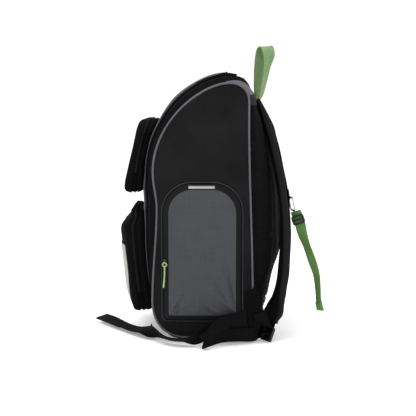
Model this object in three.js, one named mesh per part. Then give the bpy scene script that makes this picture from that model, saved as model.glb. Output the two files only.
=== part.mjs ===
// Cycling backpack, built as it is sewn: panels round a hollow main compartment, hollow pockets,
// a padded back, straps and their plastic fittings.
// Millimetres, +Z up. The front faces -Y, the wearer stands at +Y, and the wearer's right is +X.
// The origin is on the floor, under the middle of the base.
import * as THREE from "three";

// Driving dimensions

const HALF_WIDTH = 150; // centre plane to the side seams
const CLOTH = 2; // wall of the coated cloth
const GAP = 0.4; // clearance between pieces that are sewn or laid together
const BODY_CENTRE = new THREE.Vector3(0, 0, 230);

const PIPING = { radius: 2.2, frontRadius: 1.7, sides: 4, seat: 3.3, frontSeat: 2.3 }; // seat: seam to cloth
const FRONT = { halfWidth: 112, low: 40, high: 549, cornerRadius: 22 }; // low and high run along the outline
const GUSSET = { width: 35.2, zipFrom: 14, zipTo: 21, thick: 1.4 }; // outwards from the front panel's seam
const BAND_GAP = 0.7; // clearance between the bands of the curved gusset
const SIDE_BULGE = { rise: 8, halfDepth: 86, middleHeight: 215, halfHeight: 230 };
const YOKE_END = 611; // along the outline, the yoke's lower edge behind
const SIDE_TOP = 547; // along the outline, where the side panel's two edges close in on each other
const CROWN_POWER = 5; // how square the front is from side to side

const STRAP = { width: 64, thick: 15 };
const WEBBING = { adjuster: 25, strap: 24, haul: 25, sternum: 20, keeper: 18, thick: 1.8 };

// Side outline at the seam, as [y, z]. The front runs from the base up over the top to the back seam.
const FRONT_OUTLINE = {
  start: [-25, 11],
  stretches: [
    { leave: [-62, 12], arrive: [-86, 32], end: [-86, 75] }, // lower corner
    { leave: [-86, 130], arrive: [-77.5, 190], end: [-77.5, 240] }, // lower front
    { leave: [-77.5, 262], arrive: [-84.5, 280], end: [-84.5, 305] }, // dent above the lower pocket
    { leave: [-83, 392], arrive: [0, 458.5], end: [50, 458.5] }, // front rounding into the top
    { leave: [70, 458.5], arrive: [83.5, 446], end: [83.5, 425] }, // top rear corner
    { leave: [83.5, 418], arrive: [83.3, 412], end: [83.3, 405] }, // down to the back panel
  ],
};
const BACK_OUTLINE = {
  start: [83.3, 405],
  stretches: [
    { leave: [83, 290], arrive: [91, 180], end: [91, 60] },
    { leave: [91, 30], arrive: [88, 10], end: [70, 10] }, // lower rear corner
  ],
};

// How far the middle of the front stands out from the seam, along the outline
const FRONT_CROWN = [
  { at: 0, rise: 10 },
  { at: 95, rise: 2.6 },
  { at: 122, rise: 6.5 },
  { at: 143, rise: 13 },
  { at: 166, rise: 18 },
  { at: 200, rise: 24 },
  { at: 260, rise: 29 },
  { at: 300, rise: 25 },
  { at: 324, rise: 19 },
  { at: 352, rise: 18 },
  { at: 412, rise: 20 },
  { at: 457, rise: 24 },
  { at: 502, rise: 23.5 },
  { at: 547, rise: 21 },
  { at: 572, rise: 15 },
  { at: 586, rise: 12 },
  { at: 600, rise: 16 },
  { at: 615, rise: 18 },
];

// Thickness of the back pad by height
const PAD_THICKNESS = [
  { at: 24, thick: 9 },
  { at: 40, thick: 20 },
  { at: 85, thick: 27 },
  { at: 107, thick: 33 },
  { at: 130, thick: 39 },
  { at: 178, thick: 43 },
  { at: 250, thick: 42 },
  { at: 291, thick: 40 },
  { at: 340, thick: 35 },
  { at: 377, thick: 30 },
  { at: 397, thick: 25 },
  { at: 417, thick: 15 },
];
const PAD = { halfWidth: 128, low: 26, high: 417, edge: 7, channel: 7, channelHalfWidth: 20 };

// Colours

const COLOURS = {
  blackCloth: { color: 0x1b1b1c, roughness: 0.9, metalness: 0 },
  greyCloth: { color: 0x4d4e54, roughness: 0.85, metalness: 0 },
  yokeCloth: { color: 0x6f6f77, roughness: 0.8, metalness: 0 },
  mesh: { color: 0x161617, roughness: 0.95, metalness: 0 },
  piping: { color: 0x66666c, roughness: 0.6, metalness: 0 },
  zip: { color: 0x101011, roughness: 0.6, metalness: 0 },
  blackWebbing: { color: 0x171717, roughness: 0.8, metalness: 0 },
  greenWebbing: { color: 0x5c8049, roughness: 0.8, metalness: 0 },
  greenRubber: { color: 0x86a767, roughness: 0.55, metalness: 0 },
  plastic: { color: 0x131314, roughness: 0.45, metalness: 0 },
  steel: { color: 0xc4c6c0, roughness: 0.3, metalness: 0.9 },
  reflective: { color: 0xa19f96, roughness: 0.35, metalness: 0.3 },
};
const materials = Object.fromEntries(
  Object.entries(COLOURS).map(([name, look]) => [name, new THREE.MeshStandardMaterial({ name, ...look })]),
);

// Small helpers

const point = (x, y, z) => new THREE.Vector3(x, y, z);
const steps = (from, to, count) =>
  Array.from({ length: count + 1 }, (_, i) => from + ((to - from) * i) / count);

/** Reads a column of a short table at a place between its rows. */
function lookUp(table, at, column) {
  const next = table.findIndex((row) => row.at >= at);
  if (next < 0) return table[table.length - 1][column];
  if (next === 0) return table[0][column];
  const [a, b] = [table[next - 1], table[next]];
  const share = (at - a.at) / (b.at - a.at);
  return THREE.MathUtils.lerp(a[column], b[column], share);
}

// Solids from grids of points

/** Points and triangles of a grid of rows. A ring's rows close, and a row of one point is a tip. */
function gridSurface(rows, ring = false) {
  const starts = [];
  const points = [];
  for (const row of rows) {
    starts.push(points.length);
    points.push(...row);
  }
  const triangles = [];
  for (let i = 0; i + 1 < rows.length; i++) {
    const size = rows[i].length;
    for (let j = 0; j < (ring ? size : size - 1); j++) {
      const k = (j + 1) % size;
      const [a, b] = [starts[i] + j, starts[i] + k];
      if (rows[i + 1].length === 1) {
        triangles.push([a, b, starts[i + 1]]);
      } else {
        const [c, d] = [starts[i + 1] + k, starts[i + 1] + j];
        triangles.push([a, b, c], [a, c, d]);
      }
    }
  }
  return { points, triangles };
}

/** Geometry from points and triangles, turned so that its faces point out. */
function closedGeometry(points, triangles) {
  const volume = triangles.reduce((sum, [a, b, c]) => {
    return sum + points[a].dot(point(0, 0, 0).crossVectors(points[b], points[c])) / 6;
  }, 0);
  const index = triangles.flatMap(([a, b, c]) => (volume < 0 ? [a, c, b] : [a, b, c]));
  return new THREE.BufferGeometry().setFromPoints(points).setIndex(index);
}

/** Closes an outer surface and its matching inner points into one solid, with walls round every free edge. */
function closeShell(surface, innerPoints) {
  const shift = surface.points.length;
  const edges = new Set(surface.triangles.flatMap(([a, b, c]) => [`${a},${b}`, `${b},${c}`, `${c},${a}`]));
  const triangles = [...surface.triangles];
  for (const [a, b, c] of surface.triangles) {
    triangles.push([a + shift, c + shift, b + shift]);
    for (const [from, to] of [[a, b], [b, c], [c, a]]) {
      if (!edges.has(`${to},${from}`)) {
        triangles.push([to, from, from + shift], [to, from + shift, to + shift]);
      }
    }
  }
  return closedGeometry([...surface.points, ...innerPoints], triangles);
}

/** A sheet of cloth: a grid of outer points, thickened towards the inside of what it wraps. */
function sheet(rows, { thick = CLOTH, ring = false, centre = BODY_CENTRE } = {}) {
  const surface = gridSurface(rows, ring);
  const normals = surface.points.map(() => point(0, 0, 0));
  let facing = 0;
  for (const corners of surface.triangles) {
    const [a, b, c] = corners.map((i) => surface.points[i]);
    const area = b.clone().sub(a).cross(c.clone().sub(a));
    facing += area.dot(a.clone().sub(centre));
    corners.forEach((i) => normals[i].add(area));
  }
  const inward = facing > 0 ? -thick : thick;
  const inner = surface.points.map((p, i) => p.clone().addScaledVector(normals[i].normalize(), inward));
  return closeShell(surface, inner);
}

/** A solid between two grids of the same size, such as a pad's face and its back. */
function slab(outerRows, innerRows) {
  return closeShell(gridSurface(outerRows), innerRows.flat());
}

/** A solid swept along stations, each with a centre and the two directions that its section is drawn in. */
function sweep(stations, sectionAt, closed = false) {
  const rows = stations.map(({ centre, across, out }, i) =>
    sectionAt(i / (stations.length - 1)).map(([a, o]) =>
      centre.clone().addScaledVector(across, a).addScaledVector(out, o),
    ),
  );
  const { points, triangles } = gridSurface(closed ? [...rows, rows[0]] : rows, true);
  const size = rows[0].length;
  if (closed) {
    const wrapped = triangles.map((corners) => corners.map((i) => i % (rows.length * size)));
    return closedGeometry(points.slice(0, rows.length * size), wrapped);
  }
  const last = (rows.length - 1) * size;
  for (let j = 1; j + 1 < size; j++) triangles.push([0, j + 1, j], [last, last + j, last + j + 1]);
  return closedGeometry(points, triangles);
}

/** Stations along a smooth line through a table's rows: a place, and the way that the width lies. */
function ribbonStations(rows, count, width = 0) {
  const line = new THREE.CatmullRomCurve3(rows.map((row) => point(row.x, row.y, row.z)));
  const lie = new THREE.CatmullRomCurve3(rows.map((row) => point(...row.across)));
  return steps(0, 1, count).map((t) => {
    const along = line.getTangent(t);
    const across = lie.getPoint(t).projectOnPlane(along).normalize();
    const out = along.clone().cross(across);
    const centre = line.getPoint(t);
    const reachDown = (Math.abs(across.z) * width + Math.abs(out.z) * WEBBING.thick) / 2;
    centre.z = Math.max(centre.z, reachDown + GAP); // no edge goes under the floor
    return { centre, across, out };
  });
}

const flatSection = (width, thick) => [
  [-width / 2, -thick / 2],
  [width / 2, -thick / 2],
  [width / 2, thick / 2],
  [-width / 2, thick / 2],
];
const roundSection = (radius, sides) =>
  steps(0, 2 * Math.PI, sides).slice(0, sides).map((a) => [radius * Math.cos(a), radius * Math.sin(a)]);

/** A strip of webbing through a table's rows. */
function webbing(rows, width, count) {
  return sweep(ribbonStations(rows, count, width), () => flatSection(width, WEBBING.thick));
}

// The bag's outer form

const vector2 = ([y, z]) => new THREE.Vector2(y, z);

function outlinePath({ start, stretches }) {
  const path = new THREE.CurvePath();
  let from = start;
  for (const { leave, arrive, end } of stretches) {
    path.add(new THREE.CubicBezierCurve(...[from, leave, arrive, end].map(vector2)));
    from = end;
  }
  return path;
}
const frontPath = outlinePath(FRONT_OUTLINE);
const backPath = outlinePath(BACK_OUTLINE);
const FRONT_LENGTH = frontPath.getLength();
const BACK_LENGTH = backPath.getLength();

/** A place on an outline, with the direction that points out of the bag, both as (y, z). */
function outlineAt(path, length, at) {
  const share = THREE.MathUtils.clamp(at / length, 0, 1);
  const tangent = path.getTangentAt(share);
  return { place: path.getPointAt(share), out: new THREE.Vector2(-tangent.y, tangent.x) };
}

/** A point of the crowned front, at a distance along the outline and a distance from the centre plane. */
function frontSurface(at, x, lift = 0) {
  const { place, out } = outlineAt(frontPath, FRONT_LENGTH, at);
  const sideFall = Math.abs(x / HALF_WIDTH) ** CROWN_POWER;
  const rise = lookUp(FRONT_CROWN, at, "rise") * (1 - sideFall) + lift;
  return point(x, place.x + out.x * rise, place.y + out.y * rise);
}

/** Distance along the outline at which the front reaches a height. */
function frontAtHeight(x, z) {
  let [low, high] = [0, FRONT_LENGTH * 0.85];
  for (let i = 0; i < 40; i++) {
    const middle = (low + high) / 2;
    if (frontSurface(middle, x).z < z) low = middle;
    else high = middle;
  }
  return low;
}
const frontDepth = (x, z) => frontSurface(frontAtHeight(x, z), x).y;

/** A point of the back, raised from the seam's plane. */
function backSurface(at, x, lift = 0) {
  const { place, out } = outlineAt(backPath, BACK_LENGTH, at);
  return point(x, place.x + out.x * lift, place.y + out.y * lift);
}

/** How far out a side stands, at a depth and a height. */
function sideSurface(y, z) {
  const { rise, halfDepth, middleHeight, halfHeight } = SIDE_BULGE;
  const acrossDepth = Math.max(0, 1 - (y / halfDepth) ** 2);
  const overHeight = Math.max(0, 1 - ((z - middleHeight) / halfHeight) ** 2);
  return HALF_WIDTH + rise * acrossDepth * overHeight;
}

// Panels of the body

/** The base, flat where it stands and drawn up to the seams all round. */
function makeBase() {
  const rows = [
    { y: -61, lift: 13.5 },
    { y: -46, lift: 4 },
    { y: -34, lift: 0 },
    { y: 60, lift: 0 },
    { y: 74, lift: 4 },
    { y: 82, lift: 12 },
  ];
  const columns = [
    { x: -147.6, lift: 11 },
    { x: -130, lift: 3 },
    { x: -112, lift: 0 },
    { x: 112, lift: 0 },
    { x: 130, lift: 3 },
    { x: 147.6, lift: 11 },
  ];
  const cornerLift = 5.5;
  const lift = (row, column) => {
    const corner = cornerLift * Math.min(row.lift / 13.5, column.lift / 11);
    return Math.max(row.lift, column.lift) + corner;
  };
  return sheet(rows.map((row) => columns.map((column) => point(column.x, row.y, lift(row, column)))));
}

function makeBackPanel() {
  const edge = HALF_WIDTH - CLOTH - GAP;
  const rows = steps(6, BACK_LENGTH - 24, 10);
  return sheet(rows.map((at) => steps(-edge, edge, 2).map((x) => backSurface(at, x))));
}

function makeBackPad() {
  const seat = GAP + 0.4; // the back panel's facets lie a little outside its curve
  const fullHeight = BACK_OUTLINE.start[1];
  const grid = (liftAt) =>
    steps(PAD.high, PAD.low, 11).map((z) =>
      steps(-1, 1, 10).map((share) => {
        const x = PAD.halfWidth * Math.sin((share * Math.PI) / 2);
        const lift = liftAt(x, z);
        const back = backSurface(Math.max(0, fullHeight - z), x, lift);
        return point(x, back.y, z);
      }),
    );
  const face = (x, z) => {
    const thick = lookUp(PAD_THICKNESS, z, "thick");
    const rounding = Math.sqrt(1 - Math.abs(x / (PAD.halfWidth + 1)) ** 5);
    const channel = PAD.channel * Math.exp(-((x / PAD.channelHalfWidth) ** 2)) * Math.min(1, thick / 30);
    return Math.max(PAD.edge, thick * rounding - channel);
  };
  return slab(grid(face), grid(() => seat));
}

function makeSidePanel() {
  const inset = (path, length, at) => {
    const { place, out } = outlineAt(path, length, at);
    return place.clone().addScaledVector(out, -PIPING.seat);
  };
  const backReach = BACK_LENGTH + FRONT_LENGTH - SIDE_TOP;
  const rearEdge = (share) => {
    const up = share * (backReach - 8);
    return up < BACK_LENGTH
      ? inset(backPath, BACK_LENGTH, BACK_LENGTH - up)
      : inset(frontPath, FRONT_LENGTH, FRONT_LENGTH - (up - BACK_LENGTH));
  };
  const rows = steps(0, 1, 17).map((share) => {
    const front = inset(frontPath, FRONT_LENGTH, share * SIDE_TOP);
    const rear = rearEdge(share);
    return steps(0, 1, 4).map((across) => {
      const place = front.clone().lerp(rear, across);
      return point(sideSurface(place.x, place.y), place.x, place.y);
    });
  });
  return sheet(rows);
}

/** The front panel, square at the bottom and round at its two top corners. */
function makeFrontPanel() {
  const { halfWidth, low, high, cornerRadius } = FRONT;
  const edge = PIPING.frontSeat;
  const straight = steps(low, high - cornerRadius, 16);
  const corner = steps(0.25, 1, 3).map((share) => high - cornerRadius + (cornerRadius - edge) * share);
  const rows = [...straight, ...corner].map((at) => {
    const past = Math.max(0, at - (high - cornerRadius));
    const cornerReach = Math.sqrt(Math.max(0, (cornerRadius - edge + GAP) ** 2 - past ** 2));
    const reach = halfWidth - edge - Math.max(0, cornerRadius - edge - cornerReach);
    return steps(-reach, reach, 6).map((x) => frontSurface(at, x));
  });
  return sheet(rows);
}

/** The line round the front panel at a distance outside its seam, from right to left over the top. */
function gussetLine(offset) {
  const { halfWidth, low, high, cornerRadius } = FRONT;
  const radius = Math.max(0.5, cornerRadius + offset);
  const turn = { at: high - cornerRadius, x: halfWidth - cornerRadius };
  const rightSide = steps(low, turn.at, 15).map((at) => ({ at, x: turn.x + radius }));
  const corner = steps(0, Math.PI / 2, 5).slice(1).map((angle) => ({
    at: turn.at + radius * Math.sin(angle),
    x: turn.x + radius * Math.cos(angle),
  }));
  const across = steps(turn.x, 0, 4).slice(1).map((x) => ({ at: turn.at + radius, x }));
  const half = [...rightSide, ...corner, ...across];
  const mirrored = half.slice(0, -1).reverse().map(({ at, x }) => ({ at, x: -x }));
  return [...half, ...mirrored];
}

function makeGussetBand(from, to) {
  const rows = [from, to].map((offset) => gussetLine(offset).map(({ at, x }) => frontSurface(at, x)));
  return sheet(rows, { thick: GUSSET.thick });
}

/** The yoke, from the gusset's rear seam over the top rear corner, turned in under its lower edge. */
function makeYoke() {
  const { halfWidth, high, cornerRadius } = FRONT;
  const seam = GUSSET.width + BAND_GAP + 0.5;
  const radius = cornerRadius + seam;
  const turn = { at: high - cornerRadius, x: halfWidth - cornerRadius };
  const corner = steps(0, (Math.PI / 2) * 0.94, 5).map((angle) => ({
    x: turn.x + radius * Math.sin(angle),
    at: turn.at + radius * Math.cos(angle),
  }));
  const middle = steps(0, turn.x, 3).slice(0, -1).map((x) => ({ x, at: turn.at + radius }));
  const half = [...middle, ...corner];
  const columns = [...half.slice(1).reverse().map(({ x, at }) => ({ x: -x, at })), ...half];
  const rows = steps(0, 1, 4).map((share) =>
    columns.map(({ x, at }) => frontSurface(at + (YOKE_END - at) * share, x)),
  );
  const hem = columns.map(({ x }) => {
    const edge = frontSurface(YOKE_END, x);
    return point(x, THREE.MathUtils.lerp(edge.y, BACK_OUTLINE.start[0], 0.85), edge.z - 0.6);
  });
  return sheet([...rows, hem], { thick: GUSSET.thick });
}

// Piping

function makeSidePiping() {
  const front = steps(0, FRONT_LENGTH, 40).map((at) => outlineAt(frontPath, FRONT_LENGTH, at));
  const back = steps(0, BACK_LENGTH, 15).slice(1).map((at) => outlineAt(backPath, BACK_LENGTH, at));
  const stations = [...front, ...back].map(({ place, out }) => ({
    centre: point(HALF_WIDTH + 0.4, place.x, place.y),
    across: point(1, 0, 0),
    out: point(0, out.x, out.y),
  }));
  return sweep(stations, () => roundSection(PIPING.radius, PIPING.sides), true);
}

function makeFrontPiping() {
  const line = gussetLine(0).map(({ at, x }) => frontSurface(at, x, 0.3));
  const curve = new THREE.CatmullRomCurve3(line);
  const stations = line.map((centre, i) => {
    const along = curve.getTangent(i / (line.length - 1));
    const out = centre.clone().sub(BODY_CENTRE).projectOnPlane(along).normalize();
    return { centre, across: along.clone().cross(out), out };
  });
  return sweep(stations, () => roundSection(PIPING.frontRadius, PIPING.sides));
}

// Pockets

/** Points of a pocket's outline, a rectangle with round corners, drawn in from its edge by an inset. */
function pocketOutline({ middle = 0, halfWidth, low, high, topRadius, lowRadius }, inset) {
  const [right, top, bottom] = [halfWidth - inset, high - inset, low + inset];
  const [r, q] = [topRadius, lowRadius].map((radius) => Math.max(1, radius - inset));
  const corners = [
    { x: middle + right - q, z: bottom + q, radius: q, from: -90, pointsAfter: 3 },
    { x: middle + right - r, z: top - r, radius: r, from: 0, pointsAfter: 1 },
    { x: middle - right + r, z: top - r, radius: r, from: 90, pointsAfter: 3 },
    { x: middle - right + q, z: bottom + q, radius: q, from: 180, pointsAfter: 1 },
  ];
  const arcs = corners.map(({ x, z, radius, from }) =>
    steps(from, from + 90, 3).map(THREE.MathUtils.degToRad).map((angle) => {
      return new THREE.Vector2(x + radius * Math.cos(angle), z + radius * Math.sin(angle));
    }),
  );
  return arcs.flatMap((arc, i) => {
    const next = arcs[(i + 1) % arcs.length][0];
    const side = steps(0, 1, corners[i].pointsAfter + 1).slice(1, -1);
    return [...arc, ...side.map((share) => arc[arc.length - 1].clone().lerp(next, share))];
  });
}

/** Rings of a pocket from a table of insets and depths, each point placed by the pocket's own surface. */
function pocketRings(outline, rings, place) {
  return rings.map(({ inset, depth }) => pocketOutline(outline, inset).map((p) => place(p.x, p.y, depth)));
}

const UPPER_POCKET = {
  outline: { halfWidth: 84, low: 266, high: 391, topRadius: 24, lowRadius: 20 },
  faceTop: { y: -113, z: 390 },
  faceLow: { y: -139, z: 275 },
  shoulder: { height: 0, depth: 0 },
};
const LOWER_POCKET = {
  outline: { halfWidth: 102, low: 52, high: 227, topRadius: 30, lowRadius: 16 },
  faceTop: { y: -145, z: 210 },
  faceLow: { y: -130, z: 58 },
  shoulder: { height: 40, depth: 20 },
};
const POCKET_SEAT = 0.9; // from the panel's curve to the pocket's rim
const FRONT_POCKET_RINGS = {
  gusset: [{ inset: 0, depth: 0 }, { inset: -3.5, depth: 0.2 }, { inset: -4.5, depth: 0.44 }],
  zip: [{ inset: -4.5, depth: 0.485 }, { inset: -4.2, depth: 0.59 }],
  front: [
    { inset: -4, depth: 0.635 },
    { inset: -2, depth: 0.86 },
    { inset: 3, depth: 0.97 },
    { inset: 12, depth: 1.02 },
    { inset: 34, depth: 1.08 },
  ],
};

/** Places a point of a front pocket, from the front panel at depth 0 to the pocket's face at depth 1. */
function frontPocketPlace({ outline, faceTop, faceLow, shoulder }) {
  return (x, z, depth) => {
    const panel = frontDepth(x, z) - POCKET_SEAT;
    const share = (z - faceLow.z) / (faceTop.z - faceLow.z);
    const overTop = shoulder.height ? Math.max(0, (z - outline.high) / shoulder.height + 1) : 0;
    const face = THREE.MathUtils.lerp(faceLow.y, faceTop.y, share) + shoulder.depth * overTop ** 2;
    return point(x, THREE.MathUtils.lerp(panel, face, depth), z);
  };
}

function makeFrontPocketPart(pocket, part) {
  const place = frontPocketPlace(pocket);
  const rows = pocketRings(pocket.outline, FRONT_POCKET_RINGS[part], place);
  const { low, high } = pocket.outline;
  if (part === "front") rows.push([place(0, (low + high) / 2, 1.12)]);
  return sheet(rows, { ring: true, thick: 1.6, centre: point(0, -70, (low + high) / 2) });
}

const LOWER_REFLECTOR = { halfWidth: 72, low: 72, high: 168 };

/** A reflective panel on the lower pocket's face. */
function makeLowerReflector() {
  const { halfWidth, low, high } = LOWER_REFLECTOR;
  const place = frontPocketPlace(LOWER_POCKET);
  const rows = steps(low, high, 5).map((z) =>
    steps(-halfWidth, halfWidth, 6).map((x) => {
      const p = place(x, z, 1.12);
      p.y -= 1.6;
      return p;
    }),
  );
  return sheet(rows, { thick: 0.8, centre: point(0, -70, 120) });
}

const SIDE_POCKET = {
  outline: { middle: 2, halfWidth: 69, low: 43, high: 285, topRadius: 52, lowRadius: 8 },
  gusset: [{ inset: 0, depth: 1.2 }, { inset: 2.5, depth: 8 }, { inset: 8.6, depth: 14.5 }],
  face: [{ inset: 10, depth: 15 }, { inset: 13, depth: 16.2 }, { inset: 38, depth: 19.6 }],
  crown: 21,
};
const sidePocketPlace = (y, z, depth) => point(sideSurface(y, z) + depth, y, z);

function makeSidePocketGusset() {
  return sheet(pocketRings(SIDE_POCKET.outline, SIDE_POCKET.gusset, sidePocketPlace), {
    ring: true,
    thick: 1.6,
    centre: point(100, 0, 160),
  });
}

function makeSidePocketFace() {
  const { outline, face, crown } = SIDE_POCKET;
  const rows = pocketRings(outline, face, sidePocketPlace);
  rows.push([sidePocketPlace(outline.middle, (outline.low + outline.high) / 2, crown)]);
  return sheet(rows, { ring: true, thick: 1.6, centre: point(100, 0, 160) });
}

/** The rolled seam where the side pocket's gusset is sewn to the side panel. */
function makeSidePocketSeam() {
  const radius = 1.3;
  const outer = pocketOutline(SIDE_POCKET.outline, -radius - 0.5);
  const stations = outer.map((p, i) => {
    const next = outer[(i + 1) % outer.length];
    const before = outer[(i + outer.length - 1) % outer.length];
    const along = point(0, next.x - before.x, next.y - before.y).normalize();
    const across = point(1, 0, 0);
    return { centre: sidePocketPlace(p.x, p.y, radius + 0.6), across, out: along.cross(across) };
  });
  return sweep(stations, () => roundSection(radius, 4), true);
}

/** The reflective strip sewn over the top of the side pocket's gusset. */
function makeSidePocketReflector() {
  const { high } = SIDE_POCKET.outline;
  const rows = [
    { z: high - 3.4, depth: 10.6 },
    { z: high - 8, depth: 15 },
  ];
  return sheet(
    rows.map(({ z, depth }) => steps(-22, 24, 4).map((y) => point(sideSurface(y, z) + depth + 1.1, y, z))),
    { thick: 0.7, centre: point(100, 0, 160) },
  );
}

// Zip sliders and pullers

function extrude(shape, depth) {
  const geometry = new THREE.ExtrudeGeometry(shape, { depth, bevelEnabled: false, curveSegments: 3 });
  return geometry.translate(0, 0, -depth / 2);
}

/** A moulded puller in the XY plane: a ring round the origin, with a slim bar hanging from it. */
function pullerShape({ ringRadius, holeRadius, barHalfWidth, length }) {
  const joint = Math.asin(barHalfWidth / ringRadius);
  const shape = new THREE.Shape();
  shape.absarc(0, 0, ringRadius, -Math.PI / 2 + joint, 1.5 * Math.PI - joint);
  shape.lineTo(-barHalfWidth, -length + barHalfWidth);
  shape.absarc(0, -length + barHalfWidth, barHalfWidth, Math.PI, 2 * Math.PI);
  shape.holes.push(new THREE.Path().absarc(0, 0, holeRadius, 0, 2 * Math.PI, true));
  return shape;
}

const PULLER = { ringRadius: 4.3, holeRadius: 2.2, barHalfWidth: 1.9, length: 41, thick: 3 };
const SLIDER = { halfWidth: 3.6, length: 11, thick: 3, seat: 15.3 };
const PULLER_PLACE = { y: -62.5, z: 144 };

function makePuller() {
  return extrude(pullerShape(PULLER), PULLER.thick).rotateX(Math.PI / 2).rotateZ(Math.PI / 2);
}

function makeSlider() {
  const { halfWidth, length, thick } = SLIDER;
  const shape = new THREE.Shape();
  shape.moveTo(-halfWidth * 0.7, -length / 2);
  shape.lineTo(halfWidth * 0.7, -length / 2);
  shape.lineTo(halfWidth, length / 2 - 2);
  shape.lineTo(halfWidth * 0.5, length / 2);
  shape.lineTo(-halfWidth * 0.5, length / 2);
  shape.lineTo(-halfWidth, length / 2 - 2);
  shape.closePath();
  return extrude(shape, thick).rotateX(Math.PI / 2).rotateZ(Math.PI / 2);
}

// Straps and webbing

const RIGHT_STRAP_LINE = [
  { x: 47, y: 104, z: 427, across: [1, 0, 0] },
  { x: 51, y: 113.5, z: 404, across: [1, 0, 0] },
  { x: 56, y: 120, z: 385, across: [1, 0, 0] },
  { x: 62, y: 126.5, z: 363, across: [1, 0, 0] },
  { x: 72, y: 134.5, z: 327, across: [1, 0, 0] },
  { x: 83, y: 143.5, z: 282, across: [1, 0, 0] },
  { x: 93, y: 149.5, z: 233, across: [1, 0, 0] },
  { x: 102, y: 150.5, z: 177, across: [1, 0.05, 0] },
  { x: 108, y: 147.5, z: 131, across: [1, 0.1, 0] },
  { x: 113, y: 142, z: 97, across: [1, 0.2, 0] },
  { x: 121, y: 132.5, z: 62, across: [0.85, 0.53, 0] },
  { x: 129, y: 127, z: 44, across: [0.8, 0.6, 0] },
];
// The left strap comes in to the pad sooner and is turned a little
const LEFT_STRAP_LINE = [
  { x: 47, y: 104, z: 427, across: [1, 0, 0] },
  { x: 51, y: 113.5, z: 404, across: [1, 0, 0] },
  { x: 56, y: 120, z: 385, across: [1, 0, 0] },
  { x: 62, y: 126.5, z: 363, across: [1, 0.03, 0] },
  { x: 72, y: 134, z: 327, across: [1, 0.08, 0] },
  { x: 83, y: 143.5, z: 282, across: [1, 0.18, 0] },
  { x: 93, y: 149, z: 233, across: [1, 0.28, 0] },
  { x: 102, y: 149, z: 177, across: [1, 0.2, 0] },
  { x: 107, y: 147, z: 135, across: [1, 0.12, 0] },
  { x: 112, y: 135, z: 96, across: [1, 0.1, 0] },
  { x: 121, y: 129, z: 66, across: [1, 0.15, 0] },
  { x: 131, y: 125, z: 40, across: [1, 0.3, 0] },
];
const STRAP_STEPS = 22;
// The strap is pressed thin where it is sewn in at the top, and narrows towards its lower end
const STRAP_SHAPE = [
  { at: 0, width: 1, thick: 0.5 },
  { at: 0.12, width: 1, thick: 1 },
  { at: 0.8, width: 1, thick: 1 },
  { at: 1, width: 0.58, thick: 0.7 },
];

/** The strap's rounded section at a share of its length. */
function strapSection(t) {
  const half = (STRAP.width / 2) * lookUp(STRAP_SHAPE, t, "width");
  const thick = (STRAP.thick / 2) * lookUp(STRAP_SHAPE, t, "thick");
  const round = thick * 0.7;
  return [
    [-half, -thick + round],
    [-half + round, -thick],
    [-WEBBING.strap / 2 - 0.4, -thick], // under the tape's edges
    [WEBBING.strap / 2 + 0.4, -thick],
    [half - round, -thick],
    [half, -thick + round],
    [half, thick - round],
    [half - round, thick],
    [-half + round, thick],
    [-half, thick - round],
  ];
}

function makeShoulderStrap(line) {
  return sweep(ribbonStations(line, STRAP_STEPS), strapSection);
}

/** The tape sewn down the outside of the strap. */
function makeStrapWebbing(line) {
  const first = 3; // the tape begins a little below the strap's top
  const stations = ribbonStations(line, STRAP_STEPS).map(({ centre, across, out }, i) => {
    const strapThick = (STRAP.thick / 2) * lookUp(STRAP_SHAPE, i / STRAP_STEPS, "thick");
    const away = strapThick + 0.5 + WEBBING.thick / 2;
    return { centre: centre.clone().addScaledVector(out, -away), across, out };
  });
  const section = flatSection(WEBBING.strap, WEBBING.thick).reverse(); // its facets match the strap's
  return sweep(stations.slice(first), () => section);
}

// Webbing from the strap's end to its ladder lock, and from the lock to the anchor on the lower rear seam
const RIGHT_STRAP_END_LINE = [
  { x: 129.4, y: 126.7, z: 42.9, across: [0.8, 0.6, 0] },
  { x: 131.2, y: 125.4, z: 36, across: [0.83, 0.55, 0] },
  { x: 133.1, y: 124.1, z: 28.1, across: [0.866, 0.5, 0] },
];
const LEFT_STRAP_END_LINE = [
  { x: 131.8, y: 124.6, z: 37.9, across: [0.95, 0.38, 0] },
  { x: 132.5, y: 124.2, z: 33.4, across: [0.9, 0.45, 0] },
  { x: 133, y: 124, z: 29.4, across: [0.866, 0.5, 0] },
];
const STRAP_LINES = {
  right: { strap: RIGHT_STRAP_LINE, end: RIGHT_STRAP_END_LINE },
  left: { strap: LEFT_STRAP_LINE, end: LEFT_STRAP_END_LINE },
};
const ANCHOR_WEBBING_LINE = [
  { x: 157.6, y: 103, z: 56, across: [0, 0.85, 0.5] },
  { x: 158.6, y: 108, z: 42, across: [0.05, 0.9, 0.3] },
  { x: 152.5, y: 110.5, z: 29, across: [0.6, 0.7, 0.1] },
  { x: 140.5, y: 113, z: 17.7, across: [0.866, 0.5, 0] },
];
// The anchor, a wing of doubled cloth: its outline as [y, z]
const ANCHOR = {
  outline: [[78, 88], [94, 103], [104, 84], [110, 62], [106, 46], [84, 31]],
  thick: 2.4,
  x: 154.6,
};

function makeAnchor() {
  const shape = new THREE.Shape(ANCHOR.outline.map(vector2));
  return extrude(shape, ANCHOR.thick).rotateX(Math.PI / 2).rotateZ(Math.PI / 2).translate(ANCHOR.x, 0, 0);
}

const LADDER_LOCK = { width: 31, height: 27, thick: 4.5, rim: 3, bar: 3 };
const LADDER_LOCK_PLACE = { x: 136, y: 119, z: 14, yaw: 30, lean: -22 };

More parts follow.
